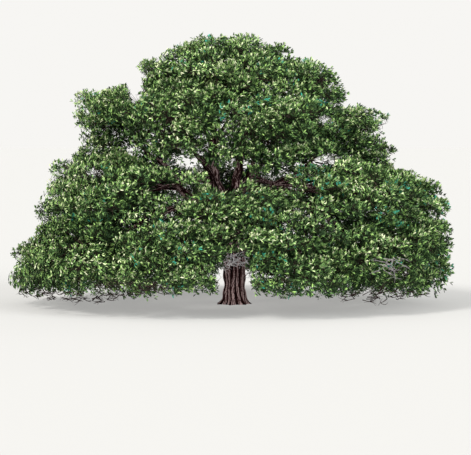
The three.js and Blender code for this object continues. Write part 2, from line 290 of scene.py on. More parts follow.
@dataclass
class Limb:
    """One bough on its cubic curve, with the stem that carries it to the middle of its mass."""

    mass: Mass
    corners: list[np.ndarray]
    foot: float
    tip: float
    collar: float = 0.25
    collar_fall: float = 14.0
    taper: float = 0.85
    stem_tip: float = 0.055
    sway: float = 0.13
    sway_waves: tuple[tuple[float, float], ...] = ((4.6, 1.0), (2.1, 0.45), (1.1, 0.22))

    def points(self, shares: np.ndarray) -> np.ndarray:
        """Points of the bare curve at shares of the way along."""
        return bezier(self.corners, shares[:, None])

    def tangent(self, share: float) -> np.ndarray:
        """The direction of the bare curve at a share of the way along."""
        return bezier_slope(self.corners, share)

    def radius(self, shares: np.ndarray) -> np.ndarray:
        """The bough's radius at shares of the way along."""
        swell = self.collar * self.foot * np.exp(-shares * self.collar_fall)
        return self.tip + (self.foot - self.tip) * (1 - shares) ** self.taper + swell

    def line(self, count: int) -> tuple[np.ndarray, np.ndarray]:
        """The crooked centre line of the bough and its stem.

        Args:
            count: How many points the bough gets. The stem gets a third more.

        Returns:
            The points and the radius at each.
        """
        shares = np.linspace(0, 1, count)
        bough = self.points(shares)
        stem_shares = np.linspace(0, 1, count // 3 + 1)[1:]
        stem = bough[-1] + (self.mass.centre - bough[-1]) * stem_shares[:, None]
        points = np.concatenate([bough, stem])
        stem_radii = self.tip + (self.stem_tip - self.tip) * stem_shares**0.8
        radii = np.concatenate([self.radius(shares), stem_radii])
        length = ways_along(points)
        side, face = square_axes(unit(points[-1] - points[0]))
        draw = np.random.default_rng(self.mass.seed + LIMB_SEED)
        fade = smoothstep(length, 0.2, 2.2) * smoothstep(length[-1] - length, 0.0, 1.5)
        for wave, depth in self.sway_waves:
            turn = draw.uniform(0, 2 * math.pi, 2)
            run = 2 * math.pi * length / wave
            bend = np.sin(run + turn[0])[:, None] * side + np.sin(run * 0.9 + turn[1])[:, None] * face
            points = points + self.sway * depth * fade[:, None] * bend
        return points, radii


@dataclass(frozen=True)
class Profile:
    """The crown's outline: its radius by height, to the right and to the left of the trunk."""

    right: tuple[tuple[float, float], ...] = (
        (0.45, 0.0), (0.6, 12.0), (1.5, 13.2), (2.4, 13.1), (3.3, 13.2), (4.8, 13.3), (5.7, 12.9),
        (7.2, 12.5), (7.8, 11.9), (8.1, 11.3), (8.4, 10.0), (8.9, 9.8), (9.4, 9.5), (9.9, 8.9),
        (10.8, 8.9), (11.4, 9.3), (11.7, 8.0), (12.0, 7.1), (12.5, 7.3), (13.2, 6.7), (14.3, 6.1),
        (14.7, 5.4), (15.1, 4.3), (15.6, 3.4), (15.8, 2.9), (15.95, 1.8), (16.4, 1.3), (16.6, 0.0),
    )
    left: tuple[tuple[float, float], ...] = (
        (0.6, 0.0), (0.8, 12.9), (1.5, 13.5), (2.4, 13.6), (3.0, 13.4), (3.6, 13.1), (4.2, 12.6),
        (4.6, 11.9), (5.0, 12.1), (5.6, 12.1), (6.6, 11.6), (7.2, 11.4), (7.6, 11.1), (8.2, 11.4),
        (8.5, 10.9), (8.7, 9.9), (9.3, 9.8), (9.6, 9.4), (10.0, 9.3), (10.5, 9.5), (11.1, 9.8),
        (12.0, 10.0), (12.7, 9.5), (13.1, 9.0), (13.3, 7.2), (13.45, 5.9), (14.4, 6.1),
        (14.9, 5.5), (15.25, 4.5), (15.9, 4.0), (16.2, 2.8), (16.45, 1.6), (16.6, 0.0),
    )
    depth_share: float = 0.945

    def radius(self, points: np.ndarray) -> np.ndarray:
        """The crown's radius at each point's height and on its side of the trunk.

        Args:
            points: Points, on the last axis.

        Returns:
            The radius for each point.
        """
        right = np.interp(points[..., 2], *zip(*self.right))
        left = np.interp(points[..., 2], *zip(*self.left))
        across = np.where(points[..., 0] > 0, right, left)
        sideways = points[..., 0] ** 2 / np.maximum((points[..., :2] ** 2).sum(-1), 1e-6)
        return across * sideways + (right + left) / 2 * self.depth_share * (1 - sideways)

    def ratio(self, points: np.ndarray) -> np.ndarray:
        """Each point's way from the trunk's line over the crown's radius there."""
        return np.hypot(points[..., 0], points[..., 1]) / np.maximum(self.radius(points), 0.01)


@dataclass
class Crown:
    """The plan of the tree: every mass, the trunk's line and every limb, by the solids' rule."""

    trunk_top: float = 6.3
    bole_radius: float = 0.6
    top_radius: float = 0.4
    shoulder_height: float = 3.3
    shoulder_swell: float = 0.09
    waist_height: float = 1.5
    flare_reach: float = 0.56
    flare_height: float = 0.43
    root_count: int = 7
    root_reach: float = 0.3
    flare_azimuth: float = 160.0
    flare_uneven: float = 0.2
    flute_depth: float = 0.026
    flute_pitch: float = 2.6
    lean: tuple[float, float] = (-0.48, 0.06)
    main_heights: tuple[float, ...] = (5.45, 5.85, 5.0, 4.55, 5.65, 5.2)
    main_rise: float = 0.62
    leader_height: float = 5.9
    leader_rise: float = 2.4
    front_height: float = 3.5
    front_rise: float = 0.5
    front_span: float = 30.0
    front_drop: float = 1.8
    front_draw_in: float = 1.2
    main_foot: float = 0.33
    leader_foot: float = 0.3
    main_tip: float = 0.105
    side_shares: tuple[tuple[str, float], ...] = (("shoulder", 0.5), ("skirt", 0.3), ("top", 0.42))
    side_step: float = 0.09
    side_aim: float = 1.1
    side_foot: float = 0.185
    side_tip: float = 0.08
    start_depth: float = 0.3
    entry_depth: float = 0.82
    leave_share: float = 0.36
    enter_share: float = 0.34
    space_margin: float = 0.03
    farthest: float = 7.0
    normal_step: float = 0.12
    nearest: float = 0.2
    halvings: int = 18
    profile: Profile = field(default_factory=Profile)
    notch_depth: float = 0.085
    notch_span: tuple[float, float] = (1.02, 1.35)
    notch_growth: float = 0.9
    growth_span: tuple[float, float] = (0.45, 0.75)
    masses: list[Mass] = field(default_factory=list)
    limbs: list[Limb] = field(default_factory=list)

    def plan(self) -> Crown:
        """Plans every mass and every limb.

        Returns:
            The crown itself.
        """
        for tier in TIERS:
            for index, azimuth in enumerate(tier.azimuths):
                self.masses.append(self._mass(tier, index, azimuth, len(self.masses) + 1))
        self._plan_limbs()
        return self

    def _mass(self, tier: Tier, index: int, azimuth: float, seed: int) -> Mass:
        """Plans one mass of a tier.

        Args:
            tier: The tier.
            index: The mass's place in it.
            azimuth: Where it stands, in degrees.
            seed: The seed of its draws.

        Returns:
            The mass.
        """
        low = tier.name == "shoulder" and azimuth == FRONT
        direction = outward(azimuth)
        deep, wide, tall = tier.half
        centre = direction * (tier.reach_at(azimuth) - deep - (self.front_draw_in if low else 0))
        centre[2] = tier.height - tier.rise * direction[0] - (self.front_drop if low else 0)
        axes = np.array([direction, [-direction[1], direction[0], 0], UP])
        width = tier.widths[index] if tier.widths else 1
        half = np.array([deep, wide * width, tall])
        return Mass(f"{tier.name}_{index + 1}", tier.name, azimuth, seed, centre, axes, half)

    def trunk_centre(self, heights: np.ndarray) -> np.ndarray:
        """The trunk's centre at heights above the ground."""
        share = np.maximum(heights, 0) / self.trunk_top
        return np.stack([self.lean[0] * share**2.4, self.lean[1] * share**2, heights], axis=-1)

    def bole(self, heights: np.ndarray) -> np.ndarray:
        """The plain bole's radius.

        Args:
            heights: Heights above the ground.

        Returns:
            The radii.
        """
        taper = smoothstep(heights, self.shoulder_height, self.trunk_top)
        swell = np.exp(-(((heights - self.shoulder_height) / self.waist_height) ** 2))
        plain = self.bole_radius + (self.top_radius - self.bole_radius) * taper
        return plain + self.shoulder_swell * swell

    def trunk_radius(self, heights: np.ndarray, angles: np.ndarray) -> np.ndarray:
        """The trunk's radius with its root flare and flutes.

        Args:
            heights: Heights above the ground.
            angles: Angles about the trunk, in radians.

        Returns:
            The radii.
        """
        flare = np.exp(-heights / self.flare_height)
        facing = np.cos(angles - math.radians(self.flare_azimuth))
        uneven = 1 - self.flare_uneven + self.flare_uneven * facing
        lobe = np.maximum(0, np.cos(self.root_count * angles + 0.5 * np.sin(2 * angles))) ** 2
        fork = smoothstep(heights, self.shoulder_height, self.trunk_top)
        twist = heights / self.flute_pitch
        flute = self.flute_depth * np.cos(self.root_count * angles + twist) * (1 - fork)
        roots = self.root_reach * lobe * flare**2
        return self.bole(heights) + self.flare_reach * uneven * flare / 2 + roots + flute

    def _limb(self, mass: Mass, start: np.ndarray, leave: np.ndarray, foot: float, tip: float) -> Limb:
        """Plans one bough from its carrier to where it enters its mass.

        Args:
            mass: The mass that it carries.
            start: Its first point, on the carrier's centre line.
            leave: The direction in which it leaves.
            foot: Its radius at the foot.
            tip: Its radius at the tip.

        Returns:
            The limb.
        """
        inwards = unit(start - mass.centre)
        end = mass.surface(inwards, self.entry_depth)
        length = float(np.linalg.norm(end - start))
        first = start + leave * length * self.leave_share
        last = end + inwards * length * self.enter_share
        return Limb(mass, [start, first, last, end], foot, tip)

    def _trunk_limb(self, mass: Mass, height: float, rise: float, foot: float) -> Limb:
        """Plans a bough that leaves the trunk.

        Args:
            mass: The mass that it carries.
            height: The height at which it leaves.
            rise: How far it rises as it leaves, for each metre outward.
            foot: Its radius at the foot.

        Returns:
            The limb.
        """
        direction = outward(mass.azimuth)
        depth = direction * self.start_depth * float(self.bole(height))
        start = self.trunk_centre(np.float64(height)) + depth
        return self._limb(mass, start, unit(direction + UP * rise), foot, self.main_tip)

    def _plan_limbs(self) -> None:
        """Plans the leaders, the mains, the low front bough and the side boughs."""
        tiers = {tier.name: [m for m in self.masses if m.tier == tier.name] for tier in TIERS}
        leaders = [
            self._trunk_limb(mass, self.leader_height, self.leader_rise, self.leader_foot)
            for mass in tiers["summit"]
        ]
        mains = [
            self._trunk_limb(mass, height, self.main_rise, self.main_foot)
            for mass, height in zip(tiers["upper"], self.main_heights)
        ]
        front = [
            self._trunk_limb(mass, self.front_height, self.front_rise, self.main_foot)
            for mass in tiers["shoulder"]
            if mass.azimuth == FRONT
        ]
        self.limbs = [*leaders, *mains, *front]
        for tier, share in self.side_shares:
            carried: dict[int, int] = {}
            for mass in tiers[tier]:
                if any(limb.mass is mass for limb in front):
                    continue
                low = tier == "skirt" and angle_between(mass.azimuth, FRONT) < self.front_span
                choices = front if low else leaders if tier == "top" else mains
                carrier = min(choices, key=lambda limb: angle_between(limb.mass.azimuth, mass.azimuth))
                order = carried.get(id(carrier), 0)
                carried[id(carrier)] = order + 1
                self.limbs.append(self._side_limb(mass, carrier, share + self.side_step * order))

    def _side_limb(self, mass: Mass, carrier: Limb, share: float) -> Limb:
        """Plans a side bough.

        Args:
            mass: The mass that it carries.
            carrier: The bough that it leaves.
            share: The share of the way along the carrier at which it leaves.

        Returns:
            The limb.
        """
        start = carrier.points(np.array([share]))[0]
        leave = unit(unit(mass.centre - start) * self.side_aim + carrier.tangent(share))
        return self._limb(mass, start, leave, self.side_foot, self.side_tip)

    def side_of(self, mass: Mass, other: Mass, points: np.ndarray) -> np.ndarray:
        """How far points stand on a mass's side of the plane between it and another."""
        between = np.linalg.norm((other.centre - mass.centre) * (1, 1, mass.vertical_weight))
        return other.weighed(points) - mass.weighed(points) - 2 * self.space_margin * between

    def beyond_leaves(self, points: np.ndarray) -> np.ndarray:
        """How far outside the leafy part of the crown points lie, below 0 inside it.

        Deep in the crown the leafy part is in the blocks alone. Near its outline the blocks grow towards
        each other, so that the notches between them are filled with foliage but for a shallow dent.

        Args:
            points: Points, on the last axis.

        Returns:
            A measure that grows outward and is 0 on the leafy part's skin.
        """
        block = np.min([mass.place(points) for mass in self.masses], axis=0)
        ratio = self.profile.ratio(points)
        growth = 1 + self.notch_growth * smoothstep(ratio, *self.growth_span)
        dent = self.notch_depth * smoothstep(block, *self.notch_span)
        return np.maximum(ratio - 1 + dent, (block - growth) / 2)

    def leafy(self, points: np.ndarray) -> np.ndarray:
        """Which points lie where leaves may grow."""
        return self.beyond_leaves(points) <= 0

    def skin_normal(self, points: np.ndarray) -> np.ndarray:
        """The direction outward from the leafy part.

        Args:
            points: Points on its skin.

        Returns:
            The direction at each.
        """
        shifts = np.eye(3) * self.normal_step
        ahead = [self.beyond_leaves(points + shift) for shift in shifts]
        behind = [self.beyond_leaves(points - shift) for shift in shifts]
        return unit(np.stack(ahead, axis=-1) - np.stack(behind, axis=-1) + 1e-9)

    def plane_reach(self, mass: Mass, directions: np.ndarray) -> np.ndarray:
        """The way from a mass's middle to the nearest plane between it and a neighbour.

        Args:
            mass: The mass.
            directions: Unit vectors.

        Returns:
            The way in each direction, up to the farthest that is looked at.
        """
        ahead = mass.centre + directions
        reach = np.full(len(directions), self.farthest)
        for other in self.masses:
            if other is mass:
                continue
            here = self.side_of(mass, other, mass.centre)
            loss = here - self.side_of(mass, other, ahead)
            reach = np.where(loss > 0, np.minimum(reach, here / np.maximum(loss, 1e-9)), reach)
        return reach

    def reach_of(self, mass: Mass, directions: np.ndarray) -> np.ndarray:
        """The way from a mass's middle to the edge of its block or space, as the solids have it."""
        return np.minimum(1 / mass.place(mass.centre + directions), self.plane_reach(mass, directions))

    def leafy_reach(self, mass: Mass, directions: np.ndarray) -> tuple[np.ndarray, np.ndarray]:
        """The way from a mass's middle to the edge of its leaves.

        Args:
            mass: The mass.
            directions: Unit vectors.

        Returns:
            The reach in each direction, and whether open air is what ends it there.
        """
        far = self.plane_reach(mass, directions)
        outer = ~self.leafy(mass.centre + directions * far[:, None])
        low, high = np.full(len(directions), self.nearest), far
        for _ in range(self.halvings):
            mid = (low + high) / 2
            inside = self.leafy(mass.centre + directions * mid[:, None])
            low, high = np.where(inside, mid, low), np.where(inside, high, mid)
        return low, outer


@dataclass(frozen=True)
class Opening:
    """A gap in the crown as seen from the front: an ellipse where sky or limbs show."""

    x: float
    z: float
    half_x: float
    half_z: float
    through: bool
    limbs_at: float = 0.2

    def holds(self, seen: np.ndarray, depth: np.ndarray) -> np.ndarray:
        """Which points lie in the gap, and before the limbs where it isn't through.

        Args:
            seen: Where the points are seen from the front.
            depth: How far back each lies.

        Returns:
            True for each point in the gap.
        """
        across = (seen[..., 0] - self.x) / self.half_x
        up = (seen[..., 1] - self.z) / self.half_z
        return (across**2 + up**2 < 1) & (self.through | (depth < self.limbs_at))


OPENINGS = (
    Opening(-3.6, 6.8, 1.5, 0.42, False),
    Opening(-4.0, 5.5, 0.6, 0.3, False),
    Opening(-0.6, 7.3, 1.0, 0.75, False),
    Opening(2.3, 7.3, 1.0, 0.3, False),
    Opening(5.4, 11.0, 0.42, 0.34, True),
    Opening(7.4, 3.7, 0.28, 0.25, True),
    Opening(10.2, 1.9, 0.3, 0.25, True),
    Opening(3.3, 13.3, 0.25, 0.25, True),
    Opening(-0.95, 1.5, 0.3, 0.75, True),
    Opening(0.05, 1.6, 0.95, 1.65, False),
    Opening(-6.0, 13.1, 0.5, 1.2, True),
    Opening(-8.05, 13.05, 0.22, 0.4, True),
    Opening(9.9, 8.9, 0.7, 0.25, True),
    Opening(-8.4, 7.9, 0.62, 0.34, True),
    Opening(5.3, 8.5, 0.75, 0.3, True),
)


@dataclass
class View:
    """The camera: a long lens from the front, a little above the horizon."""

    distance: float = 120.0
    elevation: float = 2.5
    aim_x: float = 0.06
    aim_z: float = 4.59
    width: float = 28.26
    sensor: float = 36.0

    @property
    def tilt(self) -> float:
        """How far the camera looks down, in radians."""
        return math.radians(self.elevation)

    @property
    def height(self) -> float:
        """The camera's height above the ground."""
        return self.aim_z + self.distance * math.sin(self.tilt)

    def place(self) -> None:
        """Makes the camera and gives it to the scene."""
        bpy.ops.object.camera_add(
            location=(self.aim_x, -self.distance * math.cos(self.tilt), self.height),
            rotation=(math.pi / 2 - self.tilt, 0, 0),
        )
        camera = bpy.context.object
        camera.name = "front_camera"
        camera.data.sensor_width = self.sensor
        camera.data.lens = self.sensor * self.distance / self.width
        camera.data.clip_start, camera.data.clip_end = 1, 5000
        bpy.context.scene.camera = camera

    def seen(self, points: np.ndarray) -> np.ndarray:
        """Where points are seen against the plane through the trunk.

        Args:
            points: Points, on the last axis.

        Returns:
            Their X and Z in that plane.
        """
        eye = np.array([self.aim_x, self.height])
        shrink = self.distance / (self.distance + points[..., 1:2])
        return eye + (points[..., ::2] - eye) * shrink


class Graph:
    """The node tree of a new material. Every texture in it is on Object coordinates."""

    def __init__(self, name: str, **inputs: float | tuple[float, ...]) -> None:
        """Makes the material.

        Args:
            name: Its name.
            inputs: Its shader's inputs, with an underscore for each blank of their names.
        """
        self.material = bpy.data.materials.new(name)
        self.material.use_nodes = True
        self.tree = self.material.node_tree
        self.shader = self.tree.nodes["Principled BSDF"]
        for key, value in inputs.items():
            self.give(self.shader, key.replace("_", " "), value)

    def give(self, node: bpy.types.Node, key: str | int, value: object) -> None:
        """Gives a value to an input of a node.

        Args:
            node: The node.
            key: The input's name or place.
            value: A socket to link, or a plain value.
        """
        if isinstance(value, bpy.types.NodeSocket):
            self.tree.links.new(value, node.inputs[key])
        else:
            node.inputs[key].default_value = value

    def add(self, kind: str, inputs: dict[str | int, object], **settings: object) -> bpy.types.Node:
        """Adds a node.

        Args:
            kind: Its type, without the common first part of the name.
            inputs: What its inputs are given, by name or place.
            settings: Its own settings.

        Returns:
            The node.
        """
        node = self.tree.nodes.new(f"ShaderNode{kind}")
        for name, setting in settings.items():
            setattr(node, name, setting)
        for key, value in inputs.items():
            self.give(node, key, value)
        return node

    def place(self) -> bpy.types.NodeSocket:
        """Adds the Object coordinates."""
        return self.add("TexCoord", {}).outputs["Object"]

    def noise(self, scale: float, detail: float, stretch: float = 1.0) -> bpy.types.NodeSocket:
        """Adds a noise.

        Args:
            scale: The noise's scale, per metre.
            detail: How many octaves it has.
            stretch: How many times longer its marks are upward than across.

        Returns:
            The noise's value socket.
        """
        mapping = self.add("Mapping", {"Scale": (1, 1, 1 / stretch), "Vector": self.place()})
        inputs = {"Scale": scale, "Detail": detail, "Vector": mapping.outputs["Vector"]}
        return self.add("TexNoise", inputs).outputs["Fac"]

    def ramp(
        self, value: bpy.types.NodeSocket, stops: tuple[tuple[float, Colour], ...]
    ) -> bpy.types.NodeSocket:
        """Colours a value by stops.

        Args:
            value: The value's socket.
            stops: Places from 0 to 1, each with its colour.

        Returns:
            The colour socket.
        """
        ramp = self.add("ValToRGB", {"Fac": value})
        elements = ramp.color_ramp.elements
        while len(elements) < len(stops):
            elements.new(0.5)
        for element, (place, colour) in zip(elements, stops):
            element.position = place
            element.color = (*colour, 1)
        return ramp.outputs["Color"]

    def bump(self, height: bpy.types.NodeSocket, depth: float) -> None:
        """Raises the surface a little by a height, whose full depth is in metres."""
        bump = self.add("Bump", {"Distance": depth, "Strength": 0.8, "Height": height})
        self.give(self.shader, "Normal", bump.outputs["Normal"])


@dataclass(frozen=True)
class BarkFinish:
    """Furrowed reddish-brown bark: dark furrows and pink-grey ridges, partly the bark's own colours and
    partly painted shade and highlight, and darker up in the crown as painted shade under the leaves.
    """

    name: str
    # The colours from furrow to crest: the near-black furrow is partly the bark's own colour and partly
    # painted shade, and the bright crest partly pale bark and partly a painted highlight.
    furrow: Colour = (0.005, 0.0012, 0.001)
    side: Colour = (0.028, 0.008, 0.0085)
    ridge: Colour = (0.07, 0.027, 0.027)
    crest: Colour = (0.56, 0.4, 0.39)
    stops: tuple[float, ...] = (0.3, 0.55, 0.82, 1.0)
    mottle: float = 0.56
    # Painted shade: the bark's colours are darkened by this factor from the first height to the second.
    shade: float = 0.64
    shade_from: float = 2.8
    shade_to: float = 6.0

    def material(self) -> bpy.types.Material:
        """Makes the material, which reads the mesh's own grain attribute.

        Returns:
            The material.
        """
        graph = Graph(self.name, Roughness=0.92, Specular_IOR_Level=0.06)
        grain_and_shade = graph.add("Attribute", {}, attribute_name="grain_and_shade").outputs["Fac"]
        mottle = graph.noise(12.0, 4.0, 6.0)
        centred = graph.add("Math", {0: grain_and_shade, 1: self.mottle / 2}, operation="SUBTRACT")
        terms = {0: mottle, 1: self.mottle, 2: centred.outputs[0]}
        mottled = graph.add("Math", terms, operation="MULTIPLY_ADD").outputs[0]
        # Colour by relief depth, with painted shade in the furrows and a painted highlight on the crests.
        low = tuple(zip(self.stops, (self.furrow, self.side, self.ridge, self.crest)))
        # The second ramp is the bark darkened by the shade factor: painted shade on the upper trunk and
        # the limbs under the leaves, blended in by height.
        high = tuple((place, tuple(part * self.shade for part in colour)) for place, colour in low)
        split = graph.add("SeparateXYZ", {"Vector": graph.place()})
        heights = {"From Min": self.shade_from, "From Max": self.shade_to, "Value": split.outputs["Z"]}
        share = graph.add("MapRange", heights).outputs["Result"]
        colours = {"Factor": share, 6: graph.ramp(mottled, low), 7: graph.ramp(mottled, high)}
        graph.give(graph.shader, "Base Color", graph.add("Mix", colours, data_type="RGBA").outputs[2])
        graph.bump(graph.noise(38.0, 4.0, 2.5), 0.006)
        return graph.material


@dataclass(frozen=True)
class TwigFinish:
    """Thin smooth bark of twigs, in two tones."""

    name: str
    dark: Colour = (0.014, 0.01, 0.008)
    light: Colour = (0.055, 0.038, 0.03)

    def material(self) -> bpy.types.Material:
        """Makes the material.

        Returns:
            The material.
        """
        graph = Graph(self.name, Roughness=0.85, Specular_IOR_Level=0.06)
        colour = graph.ramp(graph.noise(9.0, 3.0), ((0.3, self.dark), (0.75, self.light)))
        graph.give(graph.shader, "Base Color", colour)
        graph.bump(graph.noise(60.0, 2.0), 0.002)
        return graph.material


@dataclass(frozen=True)
class LeafFinish:
    """One plain leaf colour with a waxy face."""

    name: str
    colour: Colour
    smooth: float = 0.4
    rough: float = 0.65

    def material(self) -> bpy.types.Material:
        """Makes the material.

        Returns:
            The material.
        """
        graph = Graph(self.name, Base_Color=(*self.colour, 1), Specular_IOR_Level=0.1)
        limits = {"To Min": self.smooth, "To Max": self.rough, "Value": graph.noise(14.0, 2.0)}
        graph.give(graph.shader, "Roughness", graph.add("MapRange", limits).outputs["Result"])
        return graph.material


@dataclass(frozen=True)
class FloorFinish:
    """A plain pale floor, which glows a little so that shadows on it stay pale."""

    name: str
    colour: Colour = (0.27, 0.268, 0.262)
    glow_colour: Colour = (1.0, 0.99, 0.965)
    glow: float = 0.343

    def material(self) -> bpy.types.Material:
        """Makes the material.

        Returns:
            The material.
        """
        return Graph(
            self.name,
            Emission_Color=(*self.glow_colour, 1),
            Emission_Strength=self.glow,
            Base_Color=(*self.colour, 1),
            Roughness=0.95,
            Specular_IOR_Level=0.0,
        ).material


LEAF_FINISHES = {
    LeafTint.CREAM: LeafFinish("leaf_cream", (0.58, 0.61, 0.4)),
    LeafTint.STRAW: LeafFinish("leaf_straw", (0.46, 0.565, 0.27)),
    LeafTint.LIME: LeafFinish("leaf_lime", (0.285, 0.455, 0.13)),
    LeafTint.SPRING: LeafFinish("leaf_spring", (0.19, 0.335, 0.105)),
    LeafTint.LEAF: LeafFinish("leaf_green", (0.12, 0.22, 0.07)),
    LeafTint.DEEP: LeafFinish("leaf_deep", (0.072, 0.142, 0.046)),
    LeafTint.SHADE: LeafFinish("leaf_shade", (0.018, 0.04, 0.014)),
    LeafTint.TEAL: LeafFinish("leaf_teal", (0.04, 0.3, 0.22)),
}


def mesh_object(
    name: str,
    points: np.ndarray,
    corners: np.ndarray,
    totals: np.ndarray,
    slots: np.ndarray | None = None,
) -> bpy.types.Object:
    """Makes a joined mesh from arrays.

    Args:
        name: The piece's name.
        points: The vertices, of shape (n, 3).
        corners: The vertex of each face corner, in order.
        totals: How many corners each face has.
        slots: The material slot of each face.

    Returns:
        The new object, at the origin.
    """
    mesh = bpy.data.meshes.new(name)
    mesh.vertices.add(len(points))
    mesh.vertices.foreach_set("co", np.ascontiguousarray(points, dtype=np.float32).ravel())
    mesh.loops.add(len(corners))
    mesh.loops.foreach_set("vertex_index", np.ascontiguousarray(corners, dtype=np.int32))
    mesh.polygons.add(len(totals))
    starts = np.concatenate([[0], np.cumsum(totals)[:-1]]).astype(np.int32)
    mesh.polygons.foreach_set("loop_start", starts)
    if slots is not None:
        mesh.polygons.foreach_set("material_index", slots.astype(np.int32))
    mesh.update(calc_edges=True)
    thing = bpy.data.objects.new(name, mesh)
    bpy.context.collection.objects.link(thing)
    return thing


@dataclass
class Gathered:
    """Faces gathered from many like parts, to be joined into one mesh."""

    points: list[np.ndarray] = field(default_factory=list)
    corners: list[np.ndarray] = field(default_factory=list)
    totals: list[np.ndarray] = field(default_factory=list)
    slots: list[np.ndarray] = field(default_factory=list)
    count: int = 0

    def faces(self, corners: np.ndarray) -> None:
        """Adds faces, given the numbers of each one's points on the last axis."""
        self.corners.append(corners.reshape(-1))
        self.totals.append(np.full(math.prod(corners.shape[:-1]), corners.shape[-1]))

    def build(self, name: str) -> bpy.types.Object:
        """Joins all parts into one object.

        Args:
            name: The piece's name.

        Returns:
            The object.
        """
        parts = [np.concatenate(part) for part in (self.points, self.corners, self.totals)]
        slots = np.concatenate(self.slots) if self.slots else None
        return mesh_object(name, *parts, slots)


@dataclass
class Tubes(Gathered):
    """Many thin tapering tubes."""

    def add(self, centres: np.ndarray, radii: np.ndarray, sides: int) -> None:
        """Adds tubes with closed ends.

        Args:
            centres: The centre lines, of shape (n, rings, 3).
            radii: The radius of each ring.
            sides: How many sides a tube has.
        """
        n, rings, _ = centres.shape
        if n == 0:
            return
        along = unit(np.gradient(centres, axis=1))
        chord = unit(centres[:, -1] - centres[:, 0])
        side = unit(np.cross(along, off_axis(chord)[:, None]))
        skin = self._rings(centres, radii, side, np.cross(side, along), sides)
        self.points.append(skin.reshape(-1, 3))
        first = self.count + np.arange(n)[:, None] * rings * sides
        self._walls(first, rings, sides)
        here = np.arange(sides)
        self.faces(first + here)
        self.faces(first + (rings - 1) * sides + here[::-1])
        self.count += n * rings * sides

    def add_pointed(self, centres: np.ndarray, radii: np.ndarray, sides: int) -> None:
        """Adds tubes that end in a point and whose foot is hidden in a thicker twig.

        Args:
            centres: The centre lines with the point, of shape (n, rings + 1, 3).
            radii: The radius of each ring.
            sides: How many sides a tube has.
        """
        n, rings = len(centres), len(radii)
        if n == 0:
            return
        side, face = square_axes(unit(centres[:, 1:] - centres[:, :-1]))
        skin = self._rings(centres[:, :-1], radii, side, face, sides).reshape(n, -1, 3)
        self.points.append(np.concatenate([skin, centres[:, -1:]], axis=1).reshape(-1, 3))
        size = rings * sides + 1
        first = self.count + np.arange(n)[:, None] * size
        self._walls(first, rings, sides)
        last = first + (rings - 1) * sides
        here = np.arange(sides)
        point = np.broadcast_to(first + size - 1, (n, sides))
        self.faces(np.stack([last + here, point, last + (here + 1) % sides], axis=-1))
        self.count += n * size

    @staticmethod
    def _rings(
        centres: np.ndarray, radii: np.ndarray, side: np.ndarray, face: np.ndarray, sides: int
    ) -> np.ndarray:
        """The points of every ring.

        Args:
            centres: The rings' centres, of shape (n, rings, 3).
            radii: The radius of each ring.
            side: One direction square to the tube at each centre.
            face: The other.
            sides: How many points a ring has.

        Returns:
            The points, of shape (n, rings, sides, 3).
        """
        angle = 2 * math.pi * np.arange(sides) / sides
        ring = turned(side[:, :, None], face[:, :, None], angle)
        return centres[:, :, None] + radii[:, None, None] * ring

    def _walls(self, first: np.ndarray, rings: int, sides: int) -> None:
        """Adds the faces between the rings of each tube.

        Args:
            first: The number of each tube's first point, of shape (n, 1).
            rings: How many rings a tube has.
            sides: How many points a ring has.
        """
        low = first[..., None] + np.arange(rings - 1)[:, None] * sides
        here = np.arange(sides)
        there = (here + 1) % sides
        self.faces(np.stack([low + here, low + sides + here, low + sides + there, low + there], axis=-1))


@dataclass
class LeafShape:
    """One leaf: an outline widest past its middle, folded along its midrib and drooping a little."""

    length: float = 0.235
    width: float = 0.072
    fold: float = 0.13
    droop: float = 0.1
    waist_at: float = 0.56
    low_at: float = 0.33
    low_width: float = 0.78
    high_at: float = 0.7
    high_droop: float = 0.3

    def outline(
        self, root: np.ndarray, aim: np.ndarray, normal: np.ndarray, size: np.ndarray, full: bool
    ) -> np.ndarray:
        """The outline points of each leaf.

        Args:
            root: The leaves' roots.
            aim: The directions from root to tip.
            normal: The directions that the upper faces look in.
            size: Each leaf's size, 1 for the plain one.
            full: Whether a leaf has two points on each side, or the one of a shaded leaf.

        Returns:
            An array of shape (n, 6, 3) for full leaves and (n, 4, 3) for shaded ones.
        """
        across = np.cross(normal, aim)
        length, half = (self.length * size)[:, None], (self.width / 2 * size)[:, None]
        raised = half * self.fold * 2
        tip = root + aim * length - normal * length * self.droop
        if not full:
            waist = root + aim * length * self.waist_at + normal * raised
            return np.stack([root, waist + across * half, tip, waist - across * half], axis=1)
        low = root + aim * length * self.low_at + normal * raised
        sunk = length * self.droop * self.high_droop
        high = root + aim * length * self.high_at + normal * (raised - sunk)
        near, far = across * half * self.low_width, across * half
        return np.stack([root, low + near, high + far, tip, high - far, low - near], axis=1)


@dataclass
class Leaves(Gathered):
    """Many leaves, each with the slot of its tint."""

    shape: LeafShape = field(default_factory=LeafShape)
    leaves: int = 0

    def add(
        self,
        root: np.ndarray,
        aim: np.ndarray,
        normal: np.ndarray,
        size: np.ndarray,
        tint: np.ndarray,
        full: bool,
    ) -> None:
        """Adds leaves, all with full outlines or all with the shaded ones.

        Args:
            root: The leaves' roots.
            aim: The directions from root to tip.
            normal: The directions that the upper faces look in.
            size: Each leaf's size.
            tint: Each leaf's tint.
            full: Whether the outlines are full.
        """
        outline = self.shape.outline(root, aim, normal, size, full)
        n, around, _ = outline.shape
        halves = [[0, 3, 2, 1], [0, 5, 4, 3]] if full else [[0, 2, 1], [0, 3, 2]]
        self.faces(self.count + np.arange(n)[:, None, None] * around + np.array(halves))
        self.slots.append(np.repeat(tint, 2))
        self.points.append(outline.reshape(-1, 3))
        self.count += n * around
        self.leaves += n


